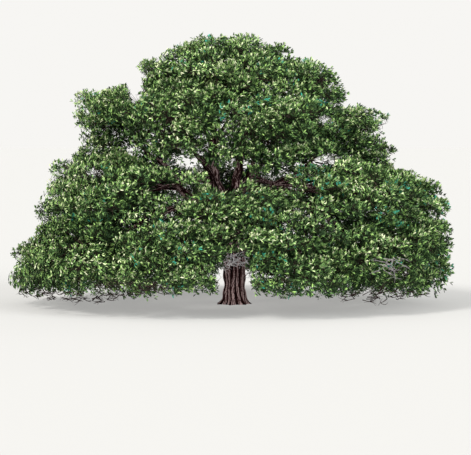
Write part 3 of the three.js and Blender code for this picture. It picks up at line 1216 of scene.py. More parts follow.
@dataclass(frozen=True)
class Waves:
    """A smooth seeded unevenness over a limb's skin that closes round the limb.

    The pace holds its slowest and fastest waves along the limb, in turns per metre. The turns are the
    most waves round the limb.
    """

    seed: int
    pace: tuple[float, float]
    turns: int
    count: int = 9

    def over(self, skin: LimbSkin) -> np.ndarray:
        """Reads the unevenness.

        Args:
            skin: Where each point lies on its limb.

        Returns:
            A value for each point, from about -1.5 to 1.5.
        """
        draw = np.random.default_rng(self.seed)
        total = np.zeros_like(skin.along)
        for _ in range(self.count):
            around = draw.integers(0, self.turns + 1)
            speed = draw.uniform(*self.pace) * draw.choice((-1, 1))
            turn = draw.uniform(0, 2 * math.pi)
            total += np.sin(around * skin.angle + 2 * math.pi * speed * skin.along + turn)
        return total / 2.6


@dataclass
class Wood:
    """The trunk and boughs: tubes grown together, with furrowed bark raised on them."""

    crown: Crown
    voxel: float = 0.05
    coarse_depth: float = 0.05
    fine_depth: float = 0.018
    coarse_spacing: float = 0.27
    fine_spacing: float = 0.095
    crack_share: float = 0.5
    raised_share: float = 0.35
    lump_share: float = 0.03
    valley_span: tuple[float, float] = (0.15, 0.98)
    furrow_span: tuple[float, float] = (0.0, 0.95)
    crack_span: tuple[float, float] = (0.9, 1.7)
    grain_shares: tuple[float, float, float] = (0.62, 0.36, 0.2)
    warp: Waves = Waves(11, (0.05, 0.4), 7)
    braid: Waves = Waves(12, (0.5, 1.8), 16)
    cracks: Waves = Waves(13, (6.0, 11.0), 9)
    lumps: Waves = Waves(14, (0.5, 1.4), 2)
    main_count: int = 9
    line_points: int = 24
    trunk_sides: int = 84
    trunk_rings: int = 70
    dome_from: float = 5.9
    dome_height: float = 0.44
    below: float = 0.15
    refined_height: float = 3.6
    refined_radius: float = 1.7
    foot_band: float = 0.12

    def build(self) -> list[bpy.types.Object]:
        """Makes both wood pieces.

        Returns:
            The trunk with its main boughs, and the side boughs.
        """
        mains = self.crown.limbs[: self.main_count]
        sides = self.crown.limbs[self.main_count :]
        trunk = self._grown("trunk_and_main_boughs", [self._trunk(), *[self._tube(b) for b in mains]])
        self._cut_at_ground(trunk)
        self._refine(trunk)
        self._raise_bark(trunk, mains, with_trunk=True)
        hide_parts("trunk", *[f"bough_{limb.mass.name}" for limb in mains])
        others = self._grown("side_boughs", [self._tube(b) for b in sides])
        self._raise_bark(others, sides, with_trunk=False)
        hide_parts(*[f"bough_{limb.mass.name}" for limb in sides])
        finish = BarkFinish("oak_bark").material()
        for piece in (trunk, others):
            piece.data.materials.append(finish)
            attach(piece, BODY)
        return [trunk, others]

    def _trunk(self) -> bpy.types.Object:
        """Models the trunk from a cylinder whose sides are cut into rings and then shaped.

        Returns:
            The trunk.
        """
        bpy.ops.object.select_all(action="DESELECT")
        bpy.ops.mesh.primitive_cylinder_add(
            vertices=self.trunk_sides, radius=1, depth=1, location=(0, 0, 0.5)
        )
        bpy.ops.object.transform_apply()
        trunk = bpy.context.object
        bpy.ops.object.mode_set(mode="EDIT")
        bpy.ops.mesh.select_all(action="DESELECT")
        bpy.ops.object.mode_set(mode="OBJECT")
        for edge in trunk.data.edges:
            low, high = (trunk.data.vertices[i].co.z for i in edge.vertices)
            edge.select = abs(low - high) > 0.5
        bpy.ops.object.mode_set(mode="EDIT")
        bpy.ops.mesh.subdivide(number_cuts=self.trunk_rings)
        bpy.ops.object.mode_set(mode="OBJECT")
        points = vertices_of(trunk)
        angles = np.arctan2(points[:, 1], points[:, 0])
        heights = self.crown.trunk_top * points[:, 2] ** 1.5
        radii = self.crown.trunk_radius(heights, angles)
        dome = ((heights - self.dome_from) / self.dome_height).clip(0)
        radii *= np.sqrt(np.clip(1 - dome**2, 0.02, 1))
        centres = self.crown.trunk_centre(heights)
        points[:, 0] = centres[:, 0] + radii * np.cos(angles)
        points[:, 1] = centres[:, 1] + radii * np.sin(angles)
        points[:, 2] = np.where(heights <= 0, -self.below, heights)
        set_vertices(trunk, points)
        return trunk

    def _tube(self, limb: Limb) -> bpy.types.Object:
        """Models one limb as a curve with a round section, and makes it a mesh.

        Args:
            limb: The limb.

        Returns:
            The mesh object.
        """
        points, radii = limb.line(self.line_points)
        bpy.ops.object.select_all(action="DESELECT")
        bpy.ops.curve.primitive_bezier_curve_add(location=(0, 0, 0), enter_editmode=True)
        bpy.ops.curve.subdivide(number_cuts=len(points) - 2)
        bpy.ops.object.mode_set(mode="OBJECT")
        tube = bpy.context.object
        for knot, place, radius in zip(tube.data.splines[0].bezier_points, points, radii):
            knot.co = place
            knot.radius = radius
            knot.handle_left_type = knot.handle_right_type = "AUTO"
        tube.data.dimensions = "3D"
        tube.data.resolution_u = 3
        tube.data.bevel_depth = 1.0
        tube.data.bevel_resolution = 4
        tube.data.use_fill_caps = True
        bpy.ops.object.convert(target="MESH")
        return bpy.context.object

    def _grown(self, name: str, parts: list[bpy.types.Object]) -> bpy.types.Object:
        """Grows overlapping parts together into one closed skin.

        Args:
            name: The piece's name.
            parts: The parts, which are used up.

        Returns:
            The piece.
        """
        bpy.ops.object.select_all(action="DESELECT")
        for part in parts:
            part.select_set(True)
        bpy.context.view_layer.objects.active = parts[0]
        bpy.ops.object.join()
        piece = bpy.context.object
        piece.name = piece.data.name = name
        bpy.ops.object.modifier_add(type="REMESH")
        skin = piece.modifiers[-1]
        skin.mode, skin.voxel_size, skin.use_smooth_shade = "VOXEL", self.voxel, True
        bpy.ops.object.modifier_apply(modifier=skin.name)
        bpy.ops.object.modifier_add(type="SMOOTH")
        smooth = piece.modifiers[-1]
        smooth.factor, smooth.iterations = 0.5, 5
        bpy.ops.object.modifier_apply(modifier=smooth.name)
        return piece

    def _cut_at_ground(self, piece: bpy.types.Object) -> None:
        """Cuts the foot flat at the ground and closes it.

        Args:
            piece: The trunk's piece.
        """
        edit_all(piece)
        bpy.ops.mesh.bisect(plane_co=(0, 0, 0), plane_no=(0, 0, 1), use_fill=True, clear_inner=True)
        bpy.ops.object.mode_set(mode="OBJECT")

    def _refine(self, piece: bpy.types.Object) -> None:
        """Divides the faces of the lower trunk once, for finer bark there.

        Args:
            piece: The trunk's piece.
        """
        edit_all(piece)
        bpy.ops.mesh.select_all(action="DESELECT")
        bpy.ops.object.mode_set(mode="OBJECT")
        mesh = piece.data
        centres = np.empty(len(mesh.polygons) * 3, np.float32)
        mesh.polygons.foreach_get("center", centres)
        x, y, z = centres.reshape(-1, 3).T
        chosen = (np.hypot(x, y) < self.refined_radius) & (z < self.refined_height) & (z > 0.01)
        mesh.polygons.foreach_set("select", chosen)
        bpy.ops.object.mode_set(mode="EDIT")
        bpy.ops.mesh.select_mode(type="FACE")
        bpy.ops.mesh.subdivide(number_cuts=1)
        bpy.ops.object.mode_set(mode="OBJECT")

    def _raise_bark(self, piece: bpy.types.Object, limbs: list[Limb], with_trunk: bool) -> None:
        """Raises furrowed bark on a piece and keeps its grain as an attribute.

        Args:
            piece: The wood piece.
            limbs: The limbs that it is made of.
            with_trunk: Whether the trunk is part of it.
        """
        points = vertices_of(piece)
        normals = np.empty(len(points) * 3, np.float32)
        piece.data.vertices.foreach_get("normal", normals)
        skin = LimbSkin(self.crown, limbs, with_trunk).read(points)
        depth, grain_and_shade = self._bark(skin)
        ground = smoothstep(points[:, 2], 0.0, self.foot_band) if with_trunk else 1.0
        moved = points + normals.reshape(-1, 3) * (depth * ground)[:, None]
        moved[:, 2] = np.where(points[:, 2] < 0.003, 0.0, np.maximum(moved[:, 2], 0.001))
        set_vertices(piece, moved)
        layer = piece.data.attributes.new("grain_and_shade", "FLOAT", "POINT")
        layer.data.foreach_set("value", grain_and_shade.astype(np.float32))
        for polygon in piece.data.polygons:
            polygon.use_smooth = True

    def _bark(self, skin: LimbSkin) -> tuple[np.ndarray, np.ndarray]:
        """The bark's depth and grain.

        Args:
            skin: Where each point lies on its limb.

        Returns:
            How far each point moves along its normal, and its grain from furrow 0 to crest 1.
        """
        coarse = np.maximum(4, np.round(2 * math.pi * skin.girth / self.coarse_spacing))
        fine = np.maximum(9, np.round(2 * math.pi * skin.girth / self.fine_spacing))
        warp, braid, cracks, lumps = (
            waves.over(skin) for waves in (self.warp, self.braid, self.cracks, self.lumps)
        )
        valley = smoothstep(-np.cos(coarse * skin.angle + 1.5 * warp), *self.valley_span)
        furrow = smoothstep(-np.cos(fine * skin.angle + 2.2 * braid + 1.2 * warp), *self.furrow_span)
        crack = smoothstep(cracks, *self.crack_span)
        scale = np.clip(skin.radius / self.crown.bole_radius, 0.12, 1.0) ** 0.8 * skin.clear
        sunk = self.coarse_depth * valley + self.fine_depth * furrow
        sunk += self.fine_depth * self.crack_share * crack
        raised = self.raised_share * self.coarse_depth
        depth = scale * (raised - sunk) + self.lump_share * skin.radius * lumps
        in_valley, in_furrow, in_crack = self.grain_shares
        grain_and_shade = 1 - in_valley * valley - in_furrow * furrow - in_crack * crack
        return depth, np.clip(grain_and_shade, 0, 1)


@dataclass
class LimbSkin:
    """Where points on the wood lie: on which limb, how far along it and at what angle."""

    crown: Crown
    limbs: list[Limb]
    with_trunk: bool
    line_points: int = 60
    search_margin: float = 1.6
    along: np.ndarray | None = None
    angle: np.ndarray | None = None
    radius: np.ndarray | None = None
    girth: np.ndarray | None = None
    clear: np.ndarray | None = None

    def read(self, points: np.ndarray) -> LimbSkin:
        """Reads the place of every point.

        Args:
            points: The wood's vertices.

        Returns:
            The skin itself, filled in.
        """
        count = len(points)
        best = np.full(count, 9.0)
        second = np.full(count, 9.0)
        self.along, self.angle = np.zeros(count), np.zeros(count)
        self.radius, self.girth = np.full(count, 0.1), np.full(count, 0.1)
        for number, (line, radii) in enumerate(self._lines()):
            low, high = line.min(0) - self.search_margin, line.max(0) + self.search_margin
            near = np.flatnonzero(((points > low) & (points < high)).all(1))
            if len(near) == 0:
                continue
            share, along, angle, radius = self._on_line(points[near], line, radii)
            closer = share < best[near]
            second[near] = np.where(closer, best[near], np.minimum(second[near], share))
            best[near] = np.where(closer, share, best[near])
            won = near[closer]
            self.along[won] = along[closer] + 7.3 * number
            self.angle[won] = angle[closer] + 1.7 * number
            self.radius[won] = radius[closer]
            self.girth[won] = np.median(radii)
        self.clear = smoothstep(second - best, 0.02, 0.35)
        return self

    def _lines(self) -> list[tuple[np.ndarray, np.ndarray]]:
        """The centre lines and radii.

        Returns:
            The trunk's, where it is part of the piece, and then each limb's.
        """
        lines = [limb.line(self.line_points) for limb in self.limbs]
        if self.with_trunk:
            heights = np.linspace(0, self.crown.trunk_top - 0.2, self.line_points)
            lines.insert(0, (self.crown.trunk_centre(heights), self.crown.bole(heights)))
        return lines

    @staticmethod
    def _on_line(points: np.ndarray, line: np.ndarray, radii: np.ndarray) -> tuple[np.ndarray, ...]:
        """Reads points against one centre line.

        Args:
            points: The points.
            line: The centre line's points.
            radii: The radius at each.

        Returns:
            The distance over the radius, the way along, the angle and the radius, for each point.
        """
        tangents = unit(np.gradient(line, axis=0))
        nearest = np.empty(len(points), int)
        batch = 20000
        for start in range(0, len(points), batch):
            part = points[start : start + batch, None, :] - line[None]
            nearest[start : start + batch] = ((part**2).sum(-1) / radii**2).argmin(1)
        offset = points - line[nearest]
        ahead = (offset * tangents[nearest]).sum(-1)
        across = offset - tangents[nearest] * ahead[:, None]
        side = unit(np.cross(tangents, off_axis(unit(line[-1] - line[0]))))[nearest]
        face = np.cross(side, tangents[nearest])
        angle = np.arctan2((across * face).sum(-1), (across * side).sum(-1))
        share = np.linalg.norm(offset, axis=-1) / radii[nearest]
        return share, ways_along(line)[nearest] + ahead, angle, radii[nearest]


def triangles_of(thing: bpy.types.Object) -> int:
    """How many triangles an object's faces make."""
    return len(thing.data.loops) - 2 * len(thing.data.polygons)


def vertices_of(thing: bpy.types.Object) -> np.ndarray:
    """An object's vertices as an array.

    Args:
        thing: The object.

    Returns:
        The vertices, of shape (n, 3).
    """
    points = np.empty(len(thing.data.vertices) * 3, np.float32)
    thing.data.vertices.foreach_get("co", points)
    return points.reshape(-1, 3).astype(float)


def set_vertices(thing: bpy.types.Object, points: np.ndarray) -> None:
    """Moves an object's vertices to new places."""
    thing.data.vertices.foreach_set("co", points.astype(np.float32).ravel())
    thing.data.update()


def edit_all(thing: bpy.types.Object) -> None:
    """Opens an object in edit mode with all of it selected.

    Args:
        thing: The object.
    """
    bpy.ops.object.select_all(action="DESELECT")
    thing.select_set(True)
    bpy.context.view_layer.objects.active = thing
    bpy.ops.object.mode_set(mode="EDIT")
    bpy.ops.mesh.select_all(action="SELECT")


@dataclass(frozen=True)
class PaintedLightTints:
    """How leaf colours are dealt, as painted light and shade: lighter tints on the side of each clump and
    tuft that faces the key light, darker ones below it and behind the crown's skin.
    """

    # Weights of the painted light: the spray's side towards the key light, its tuft's sunny cap, and its
    # clump's face towards the key light.
    sunny: float = 0.32
    high: float = 0.24
    facing: float = 0.1
    base: float = 0.24
    # Clumps on the skin are a little lighter, and those behind it darker, as painted shade.
    outer: float = 0.05
    inner: float = -0.25
    clump_spread: float = 0.1
    spray_spread: float = 0.16
    edges: tuple[float, ...] = (-0.42, -0.12, 0.14, 0.4, 0.66, 0.92)
    teal_clumps: float = 0.16
    teal_sprays: float = 0.3
    # Steps darker for each leaf along a shoot: painted shade on its inner half, light and dark leaves in
    # turn at its tip.
    leaf_shade_shifts: tuple[int, ...] = (4, 5, 1, 5, 3, 2, -1, 4, -1, 4, 1)
    darker_leaves: float = 0.25

    def sprays(
        self, clumps: dict[str, np.ndarray], heading: np.ndarray, draw: np.random.Generator
    ) -> np.ndarray:
        """Deals a tint to each spray: a painted highlight where it, its tuft or its clump faces the key
        light, and painted shade on the far side and deep in the crown.

        Args:
            clumps: The clumps.
            heading: The sprays' directions from their clump's middle.
            draw: The mass's draws.

        Returns:
            The tint's number for each spray.
        """
        # Painted light: the sides that face the key light get lighter tints, the sides away from it
        # darker ones.
        light = unit(KEY_FROM + 0.5 * UP)
        sunny = heading @ light
        high = np.clip(clumps["tuft"] @ light, -1, 1)[:, None, None]
        facing = (clumps["out"] @ KEY_FROM)[:, None, None]
        score = self.sunny * sunny + self.high * high + self.facing * facing
        score = score + draw.normal(0, self.clump_spread, (len(heading), 1, 1)) + self.base
        score = score + draw.normal(0, self.spray_spread, sunny.shape)
        # Painted shade on the clumps behind the crown's skin.
        score = score + np.where(clumps["outer"], self.outer, self.inner)[:, None, None]
        tint = LeafTint.SHADE.value - np.digitize(score, self.edges)
        teal = draw.random((len(heading), 1, 1)) < self.teal_clumps
        teal = teal & (draw.random(score.shape) < self.teal_sprays) & (score > 0)
        return np.where(teal, LeafTint.TEAL.value, tint)

    def leaves(self, tint: np.ndarray, per: int, draw: np.random.Generator) -> np.ndarray:
        """Deals a tint to each leaf, mostly darker ones than its spray's: painted shade on the inner half
        of each shoot, and dark leaves between light ones at its tip.

        Args:
            tint: The sprays' tints.
            per: How many leaves a spray has.
            draw: The mass's draws.

        Returns:
            The tint's number for each leaf, of shape (sprays, leaves).
        """
        chances = (1 - self.darker_leaves, self.darker_leaves)
        pattern = np.resize(self.leaf_shade_shifts, per)
        shift = pattern + draw.choice((0, 1), (len(tint), per), p=chances)
        dealt = np.clip(tint[:, None] + shift, LeafTint.CREAM.value, LeafTint.SHADE.value)
        of_teal = np.where(shift > 1, LeafTint.LEAF.value, LeafTint.TEAL.value)
        return np.where(tint[:, None] == LeafTint.TEAL.value, of_teal, dealt)


@dataclass
class ClumpPlan:
    """Where the clumps stand: evenly over the crown's skin, and fewer behind it.

    A layer of clumps has its least and greatest depth under the skin and its least height.
    """

    crown: Crown
    skin_places: int = 1300
    spacing: float = 1.12
    layers: tuple[tuple[float, float, float], ...] = ((0.7, 1.15, 0.9), (1.8, 2.6, 1.2), (3.0, 4.6, 2.0))
    heart_share: float = 0.02
    tuft_spacing: float = 2.5
    tuft_dent: float = 0.3
    clump_spacing: float = 1.6
    evening_rounds: int = 6
    evening_step: float = 0.3
    draw: np.random.Generator = field(default_factory=lambda: np.random.default_rng(SKIN_SEED))

    def plan(self) -> dict[str, dict[str, np.ndarray]]:
        """Plans the clumps of every mass.

        Returns:
            For each mass its clumps' middles, their directions outward, whether each is on the skin,
            and how far each stands from the middle of its tuft.
        """
        masses = self.crown.masses
        skins = [self._skin(mass) for mass in masses]
        owner = np.repeat(np.arange(len(skins)), [len(part["middle"]) for part in skins])
        skin = {key: np.concatenate([part[key] for part in skins]) for key in skins[0]}
        middle, out, shown = skin["middle"], skin["out"], skin["outer"]
        outer = self._spread_out(middle, shown, self.spacing)
        middle[outer] = self._evened(middle[outer], out[outer])
        inner = self._spread_out(middle, ~shown, self.spacing, middle[outer])
        tufts = middle[self._spread_out(middle, shown, self.tuft_spacing)]
        LOG.info("clumps: %d outer, %d inner, in %d tufts", len(outer), len(inner), len(tufts))
        chosen = np.concatenate([outer, inner])
        offsets = middle[chosen][:, None] - tufts
        nearest = np.linalg.norm(offsets * CLUMP_WEIGHTS, axis=-1).argmin(1)
        skin["tuft"] = np.zeros_like(middle)
        skin["tuft"][chosen] = offsets[np.arange(len(chosen)), nearest] / (self.tuft_spacing / 2)
        sunk = smoothstep(np.linalg.norm(skin["tuft"][outer], axis=1), 0.5, 1.15)
        middle[outer] -= out[outer] * self.tuft_dent * sunk[:, None]
        own = [chosen[owner[chosen] == number] for number in range(len(masses))]
        return {
            mass.name: {key: values[part] for key, values in skin.items()}
            for mass, part in zip(masses, own)
        }

    def _skin(self, mass: Mass) -> dict[str, np.ndarray]:
        """Places where a mass's clumps could stand.

        Args:
            mass: The mass.

        Returns:
            The places, the directions outward there and whether each place is on the skin.
        """
        draw = np.random.default_rng(SKIN_SEED + mass.seed)
        directions = golden_directions(self.skin_places, draw.uniform(0, 6)) @ mass.axes
        reach, open_air = self.crown.leafy_reach(mass, directions)
        skin = mass.centre + directions * reach[:, None]
        normal = unit(self.crown.skin_normal(skin) + 0.25 * directions)
        radial = unit(skin * (1, 1, 0))
        shown = open_air & (((normal * radial).sum(1) > -0.2) | (normal[:, 2] > 0.25))
        depths = [draw.uniform(near, far, len(reach)) for near, far, _ in self.layers]
        middles = [skin - normal * depth[:, None] for depth in depths]
        few = draw.random(len(reach)) < self.heart_share
        allowed = (shown, open_air, open_air & few)
        keeps = [
            (middle[:, 2] > lowest) & here & self.crown.leafy(middle)
            for middle, (_, _, lowest), here in zip(middles, self.layers, allowed)
        ]
        out = unit(normal + 0.3 * directions)
        return {
            "middle": np.concatenate([middle[keep] for middle, keep in zip(middles, keeps)]),
            "out": np.concatenate([out[keep] for keep in keeps]),
            "outer": np.repeat([True, False, False], [keep.sum() for keep in keeps]),
        }

    def _spread_out(
        self, middle: np.ndarray, usable: np.ndarray, spacing: float, taken: np.ndarray | None = None
    ) -> np.ndarray:
        """Picks places that keep a spacing from each other.

        Args:
            middle: The places.
            usable: Which of them may be picked.
            spacing: The least way between two picked places.
            taken: Places picked before, to keep clear of.

        Returns:
            The numbers of the picked places.
        """
        order = self.draw.permutation(np.flatnonzero(usable))
        places = middle * CLUMP_WEIGHTS
        near = np.zeros((0, 3)) if taken is None else taken * CLUMP_WEIGHTS
        picked: list[int] = []
        for number in order:
            if len(near) and (((near - places[number]) ** 2).sum(1) < spacing**2).any():
                continue
            picked.append(number)
            near = np.concatenate([near, places[number][None]])
        return np.array(picked)

    def _evened(self, places: np.ndarray, outs: np.ndarray) -> np.ndarray:
        """Moves places apart along the skin where they crowd.

        Args:
            places: The places.
            outs: The direction outward at each.

        Returns:
            The new places.
        """
        for _ in range(self.evening_rounds):
            offset = (places[:, None] - places[None]) * CLUMP_WEIGHTS
            way = np.linalg.norm(offset, axis=-1) + np.eye(len(places)) * 9
            push = np.clip(1 - way / self.clump_spacing, 0, 1)
            move = (offset / way[..., None] * push[..., None]).sum(1) * self.evening_step
            moved = places + move - outs * (move * outs).sum(-1, keepdims=True)
            places = np.where(self.crown.leafy(moved)[:, None], moved, places)
        return places


@dataclass
class Growth:
    """The growth of one mass: main twigs, a twig to each clump, and its arms, shoots and leaves."""

    crown: Crown
    view: View
    wood: list[tuple[np.ndarray, np.ndarray]]
    limb: Limb
    clumps: dict[str, np.ndarray]
    tubes: Tubes
    leaves: Leaves
    draw: np.random.Generator
    tints: PaintedLightTints = PaintedLightTints()
    main_count: int = 6
    main_inset: float = 1.05
    least_reach: float = 1.5
    main_start: float = 0.35
    main_bend: float = 0.3
    main_twig: tuple[float, float] = (0.058, 0.03)
    clump_start: tuple[float, float] = (0.3, 0.8)
    clump_sway: float = 0.12
    clump_twig: tuple[float, float] = (0.034, 0.016)
    arm_twig: tuple[float, float] = (0.016, 0.012)
    shoot_twig: float = 0.008
    line_points: int = 8
    clump_radius: float = 0.86
    clump_shape: tuple[float, float, float] = (1.1, 1.1, 0.74)
    arms: int = 8
    arm_reach: float = 0.55
    arm_outward: float = 0.42
    arm_lift: float = 0.2
    shoots_at: tuple[float, ...] = (1.0, 0.62, 0.78, 0.9)
    spread: float = 0.72
    outer_leaves: int = 11
    inner_leaves: int = 7
    inner_scale: float = 1.4
    shaded_share: float = 0.7
    lie: tuple[float, float, float] = (0.7, -0.15, 0.6)
    lie_spread: float = 0.5
    lie_share: float = 0.85
    ahead_share: float = 0.8
    ahead_span: tuple[float, float] = (0.4, 1.05)
    aside_share: float = 0.7
    level_share: float = 0.75
    outward_share: float = 0.55
    aim_spread: float = 0.16
    face_spread: float = 0.4
    leaf_sizes: tuple[float, float] = (0.84, 1.16)
    least_sprays: int = 6
    under_side: float = -0.35
    under_thinning: float = 0.45
    lowest_leaf: float = 0.55
    arch_height: float = 0.95
    arch_width: float = 3.2
    limb_clearance: float = 0.14
    search_margin: float = 0.8

    def grow(self) -> None:
        """Grows the mass into the gathered twigs and leaves."""
        twigs = self._main_twigs()
        points = self.line_points
        self.tubes.add(cubic(twigs, np.linspace(0, 1, points)), np.linspace(*self.main_twig, points), 5)
        lines = self._clump_twigs(twigs)
        used = self._fill_clumps(lines)
        seen = self.view.seen(lines)
        for opening in OPENINGS:
            used &= ~(opening.through & opening.holds(seen, lines[..., 1])).any(1)
        self.tubes.add(lines[used], np.linspace(*self.clump_twig, lines.shape[1]), 4)

    def _main_twigs(self) -> list[np.ndarray]:
        """The twigs that the solids have too, now on curves.

        Returns:
            The four corners of each twig's curve.
        """
        mass = self.limb.mass
        draw = Seeded(mass.seed)
        for _ in range(3):
            draw.draw()
        foot = self.limb.corners[3]
        turn = draw.between(0, 2 * math.pi)
        directions = golden_directions(self.main_count, turn) @ mass.axes
        reach = self.crown.reach_of(mass, directions)
        starts, ends = [], []
        for direction, far in zip(directions, reach):
            if far < self.least_reach:
                continue
            starts.append(mass.centre + (foot - mass.centre) * draw.between(0, self.main_start))
            ends.append(mass.centre + direction * (far - self.main_inset))
        start, end = np.array(starts), np.array(ends)
        way = np.linalg.norm(end - start, axis=1, keepdims=True)
        heading = unit(mass.centre - foot)
        first = start + (unit(end - start) + 0.5 * heading) * way * self.main_bend
        last = end - (unit(end - mass.centre) - 0.25 * UP) * way * self.main_bend
        return [start, first, last, end]

    def _clump_twigs(self, twigs: list[np.ndarray]) -> np.ndarray:
        """The centre lines of the twigs from the main twigs to the clumps.

        Args:
            twigs: The main twigs' curves.

        Returns:
            The lines, of shape (clumps, 7, 3).
        """
        middle, out = self.clumps["middle"], self.clumps["out"]
        chosen = (out @ unit(twigs[3] - twigs[0]).T).argmax(1)
        shares = self.draw.uniform(*self.clump_start, (len(middle), 1))
        picked = [corner[chosen] for corner in twigs]
        start, slope = bezier(picked, shares), bezier_slope(picked, shares)
        way = np.linalg.norm(middle - start, axis=1, keepdims=True)
        sway = self.draw.normal(0, self.clump_sway, (len(middle), 3))
        first = start + (slope * 0.6 + unit(middle - start) * 0.6 + sway) * way * 0.4
        last = middle - (out * 0.8 - UP * 0.15 + sway[::-1]) * way * 0.35
        return cubic([start, first, last, middle], np.linspace(0, 1, 7))

    def _fill_clumps(self, lines: np.ndarray) -> np.ndarray:
        """Fills every clump with arms, shoots and leaves.

        Args:
            lines: The twig that leads to each clump.

        Returns:
            True for each clump that has leaves.
        """
        aim, heading = self._headings()
        middle = self.clumps["middle"][:, None]
        ball = self.clump_radius * self.draw.uniform(0.8, 1.2, (len(lines), 1, 1))
        ball = ball * self.draw.uniform(0.8, 1.04, heading.shape[:3])
        sprays = middle[:, None] + heading * ball[..., None] * self.clump_shape
        keep = self._kept(sprays, heading)
        keep &= (keep.sum((1, 2)) >= self.least_sprays)[:, None, None]
        ends = middle + aim * (ball.mean(2) * self.arm_reach)[..., None] * self.clump_shape
        root, tip = self._arms(lines, ends, keep)[keep], sprays[keep]
        self.tubes.add_pointed(np.stack([root, tip], axis=1), np.array([self.shoot_twig]), 3)
        tint = self.tints.sprays(self.clumps, heading, self.draw)[keep]
        outer = np.broadcast_to(self.clumps["outer"][:, None, None], keep.shape)[keep]
        lie = unit(self.draw.normal(0, self.lie_spread, (len(lines), 1, 1, 3)) + self.lie)
        spray = (root, tip, heading[keep], np.broadcast_to(lie, heading.shape)[keep], tint)
        layers = ((outer, self.outer_leaves, 1.0), (~outer, self.inner_leaves, self.inner_scale))
        for layer, per, scale in layers:
            if layer.any():
                self._leaf_layer([values[layer] for values in spray], per, scale)
        return keep.any((1, 2))

    def _headings(self) -> tuple[np.ndarray, np.ndarray]:
        """The directions of every clump's arms, and of the sprays round each arm's own.

        Returns:
            The arms' directions, of shape (clumps, arms, 3), and the sprays', of shape
            (clumps, arms, sprays, 3).
        """
        out = self.clumps["out"][:, None]
        count, arms, per_arm = len(out), self.arms, len(self.shoots_at)
        spin = golden_directions(arms, 0.0)
        turn = self.draw.uniform(0, 2 * math.pi, (count, 1))
        cos, sin = np.cos(turn), np.sin(turn)
        x = spin[:, 0] * cos - spin[:, 1] * sin
        y = spin[:, 0] * sin + spin[:, 1] * cos
        z = np.broadcast_to(spin[:, 2], x.shape)
        aim = np.stack([x, y, z], axis=-1) + self.draw.normal(0, 0.1, (count, arms, 3))
        aim = unit(aim + self.arm_outward * out + self.arm_lift * UP)
        side, face = square_axes(aim)
        lean = np.array([0.0] + [self.spread] * (per_arm - 1))
        lean = lean * self.draw.uniform(0.75, 1.25, (count, arms, per_arm))
        evenly = 2 * math.pi * np.arange(per_arm) / (per_arm - 1)
        around = evenly + self.draw.uniform(0, 6, (count, arms, 1))
        heading = (
            aim[:, :, None] * np.cos(lean)[..., None]
            + side[:, :, None] * (np.sin(lean) * np.cos(around))[..., None]
            + face[:, :, None] * (np.sin(lean) * np.sin(around))[..., None]
        )
        return aim, heading

    def _arms(self, lines: np.ndarray, ends: np.ndarray, keep: np.ndarray) -> np.ndarray:
        """Grows arms from the last stretch of each clump's twig towards their own sprays.

        Args:
            lines: The twig that leads to each clump.
            ends: The arms' ends, of shape (clumps, arms, 3).
            keep: Which sprays grow, of shape (clumps, arms, sprays).

        Returns:
            Where each spray's shoot leaves its arm, of shape (clumps, arms, sprays, 3).
        """
        roots_at = self.draw.integers(4, 7, keep.shape[:2])
        root = lines[np.arange(len(lines))[:, None], roots_at]
        bend = self.draw.normal(0, 0.07, root.shape)
        way = ends - root
        corners = [root, root + way * 0.33 + bend, root + way * 0.66 - bend + 0.04 * UP, ends]
        used = keep.any(2)
        line = cubic([corner[used] for corner in corners], np.array([0, 0.5, 1.06]))
        self.tubes.add_pointed(line, np.array(self.arm_twig), 3)
        return bezier([corner[:, :, None] for corner in corners], np.array(self.shoots_at)[:, None])

    def _kept(self, sprays: np.ndarray, heading: np.ndarray) -> np.ndarray:
        """Which sprays grow: those in the leafy space, off the limbs and out of the openings.

        Args:
            sprays: The sprays' places.
            heading: Their directions from the clump's middle.

        Returns:
            True for each spray that grows.
        """
        arch = self.arch_height * np.exp(-((sprays[..., 0] / self.arch_width) ** 2))
        keep = self.crown.leafy(sprays) & (sprays[..., 2] > self.lowest_leaf + arch)
        under = heading[..., 2] < self.under_side
        keep &= ~(under & (self.draw.random(under.shape) < self.under_thinning))
        seen = self.view.seen(sprays)
        for opening in OPENINGS:
            keep &= ~opening.holds(seen, sprays[..., 1])
        for line, radii in self.wood:
            low, high = line.min(0) - self.search_margin, line.max(0) + self.search_margin
            near = ((sprays > low) & (sprays < high)).all(-1) & keep
            if not near.any():
                continue
            ways = np.linalg.norm(sprays[near][:, None] - line[None], axis=-1) - radii
            keep[near] = ways.min(1) > self.limb_clearance
        return keep

    def _leaf_layer(self, spray: list[np.ndarray], per: int, scale: float) -> None:
        """Sets the leaves of the shoots on the crown's skin, or of those behind it.

        Args:
            spray: The shoots' roots, tips, headings, leaf directions and tints.
            per: How many leaves each shoot has.
            scale: Their size, 1 on the crown's skin.
        """
        root, tip, heading, lie, tint = spray
        n, draw = len(root), self.draw
        along = unit(tip - root)
        side, face = square_axes(along)
        step = np.arange(per)
        share = np.where(step < per / 2, 0.3 + 0.6 * step / per, 0.82 + 0.16 * step / per)
        place = root[:, None] + (tip - root)[:, None] * share[:, None]
        angle = step * GOLDEN_ANGLE + draw.uniform(0, 6, (n, 1))
        radial = turned(side[:, None], face[:, None], angle)
        ahead = np.linspace(*self.ahead_span, per)[:, None]
        aim = along[:, None] * ahead * self.ahead_share + radial * self.aside_share
        aim = aim + lie[:, None] * self.lie_share
        aim = unit(aim + draw.normal(0, self.aim_spread, (n, per, 3)))
        normal = UP * self.level_share + heading[:, None] * self.outward_share
        normal = normal + draw.normal(0, self.face_spread, (n, per, 3))
        normal = unit(normal - aim * (normal * aim).sum(-1, keepdims=True))
        size = scale * draw.uniform(*self.leaf_sizes, (n, per))
        dealt = self.tints.leaves(tint, per, draw)
        last = step >= round(per * self.shaded_share)
        full = np.broadcast_to(last & (scale == 1), (n, per))
        for part, whole in ((full, True), (~full, False)):
            if part.any():
                self.leaves.add(place[part], aim[part], normal[part], size[part], dealt[part], whole)


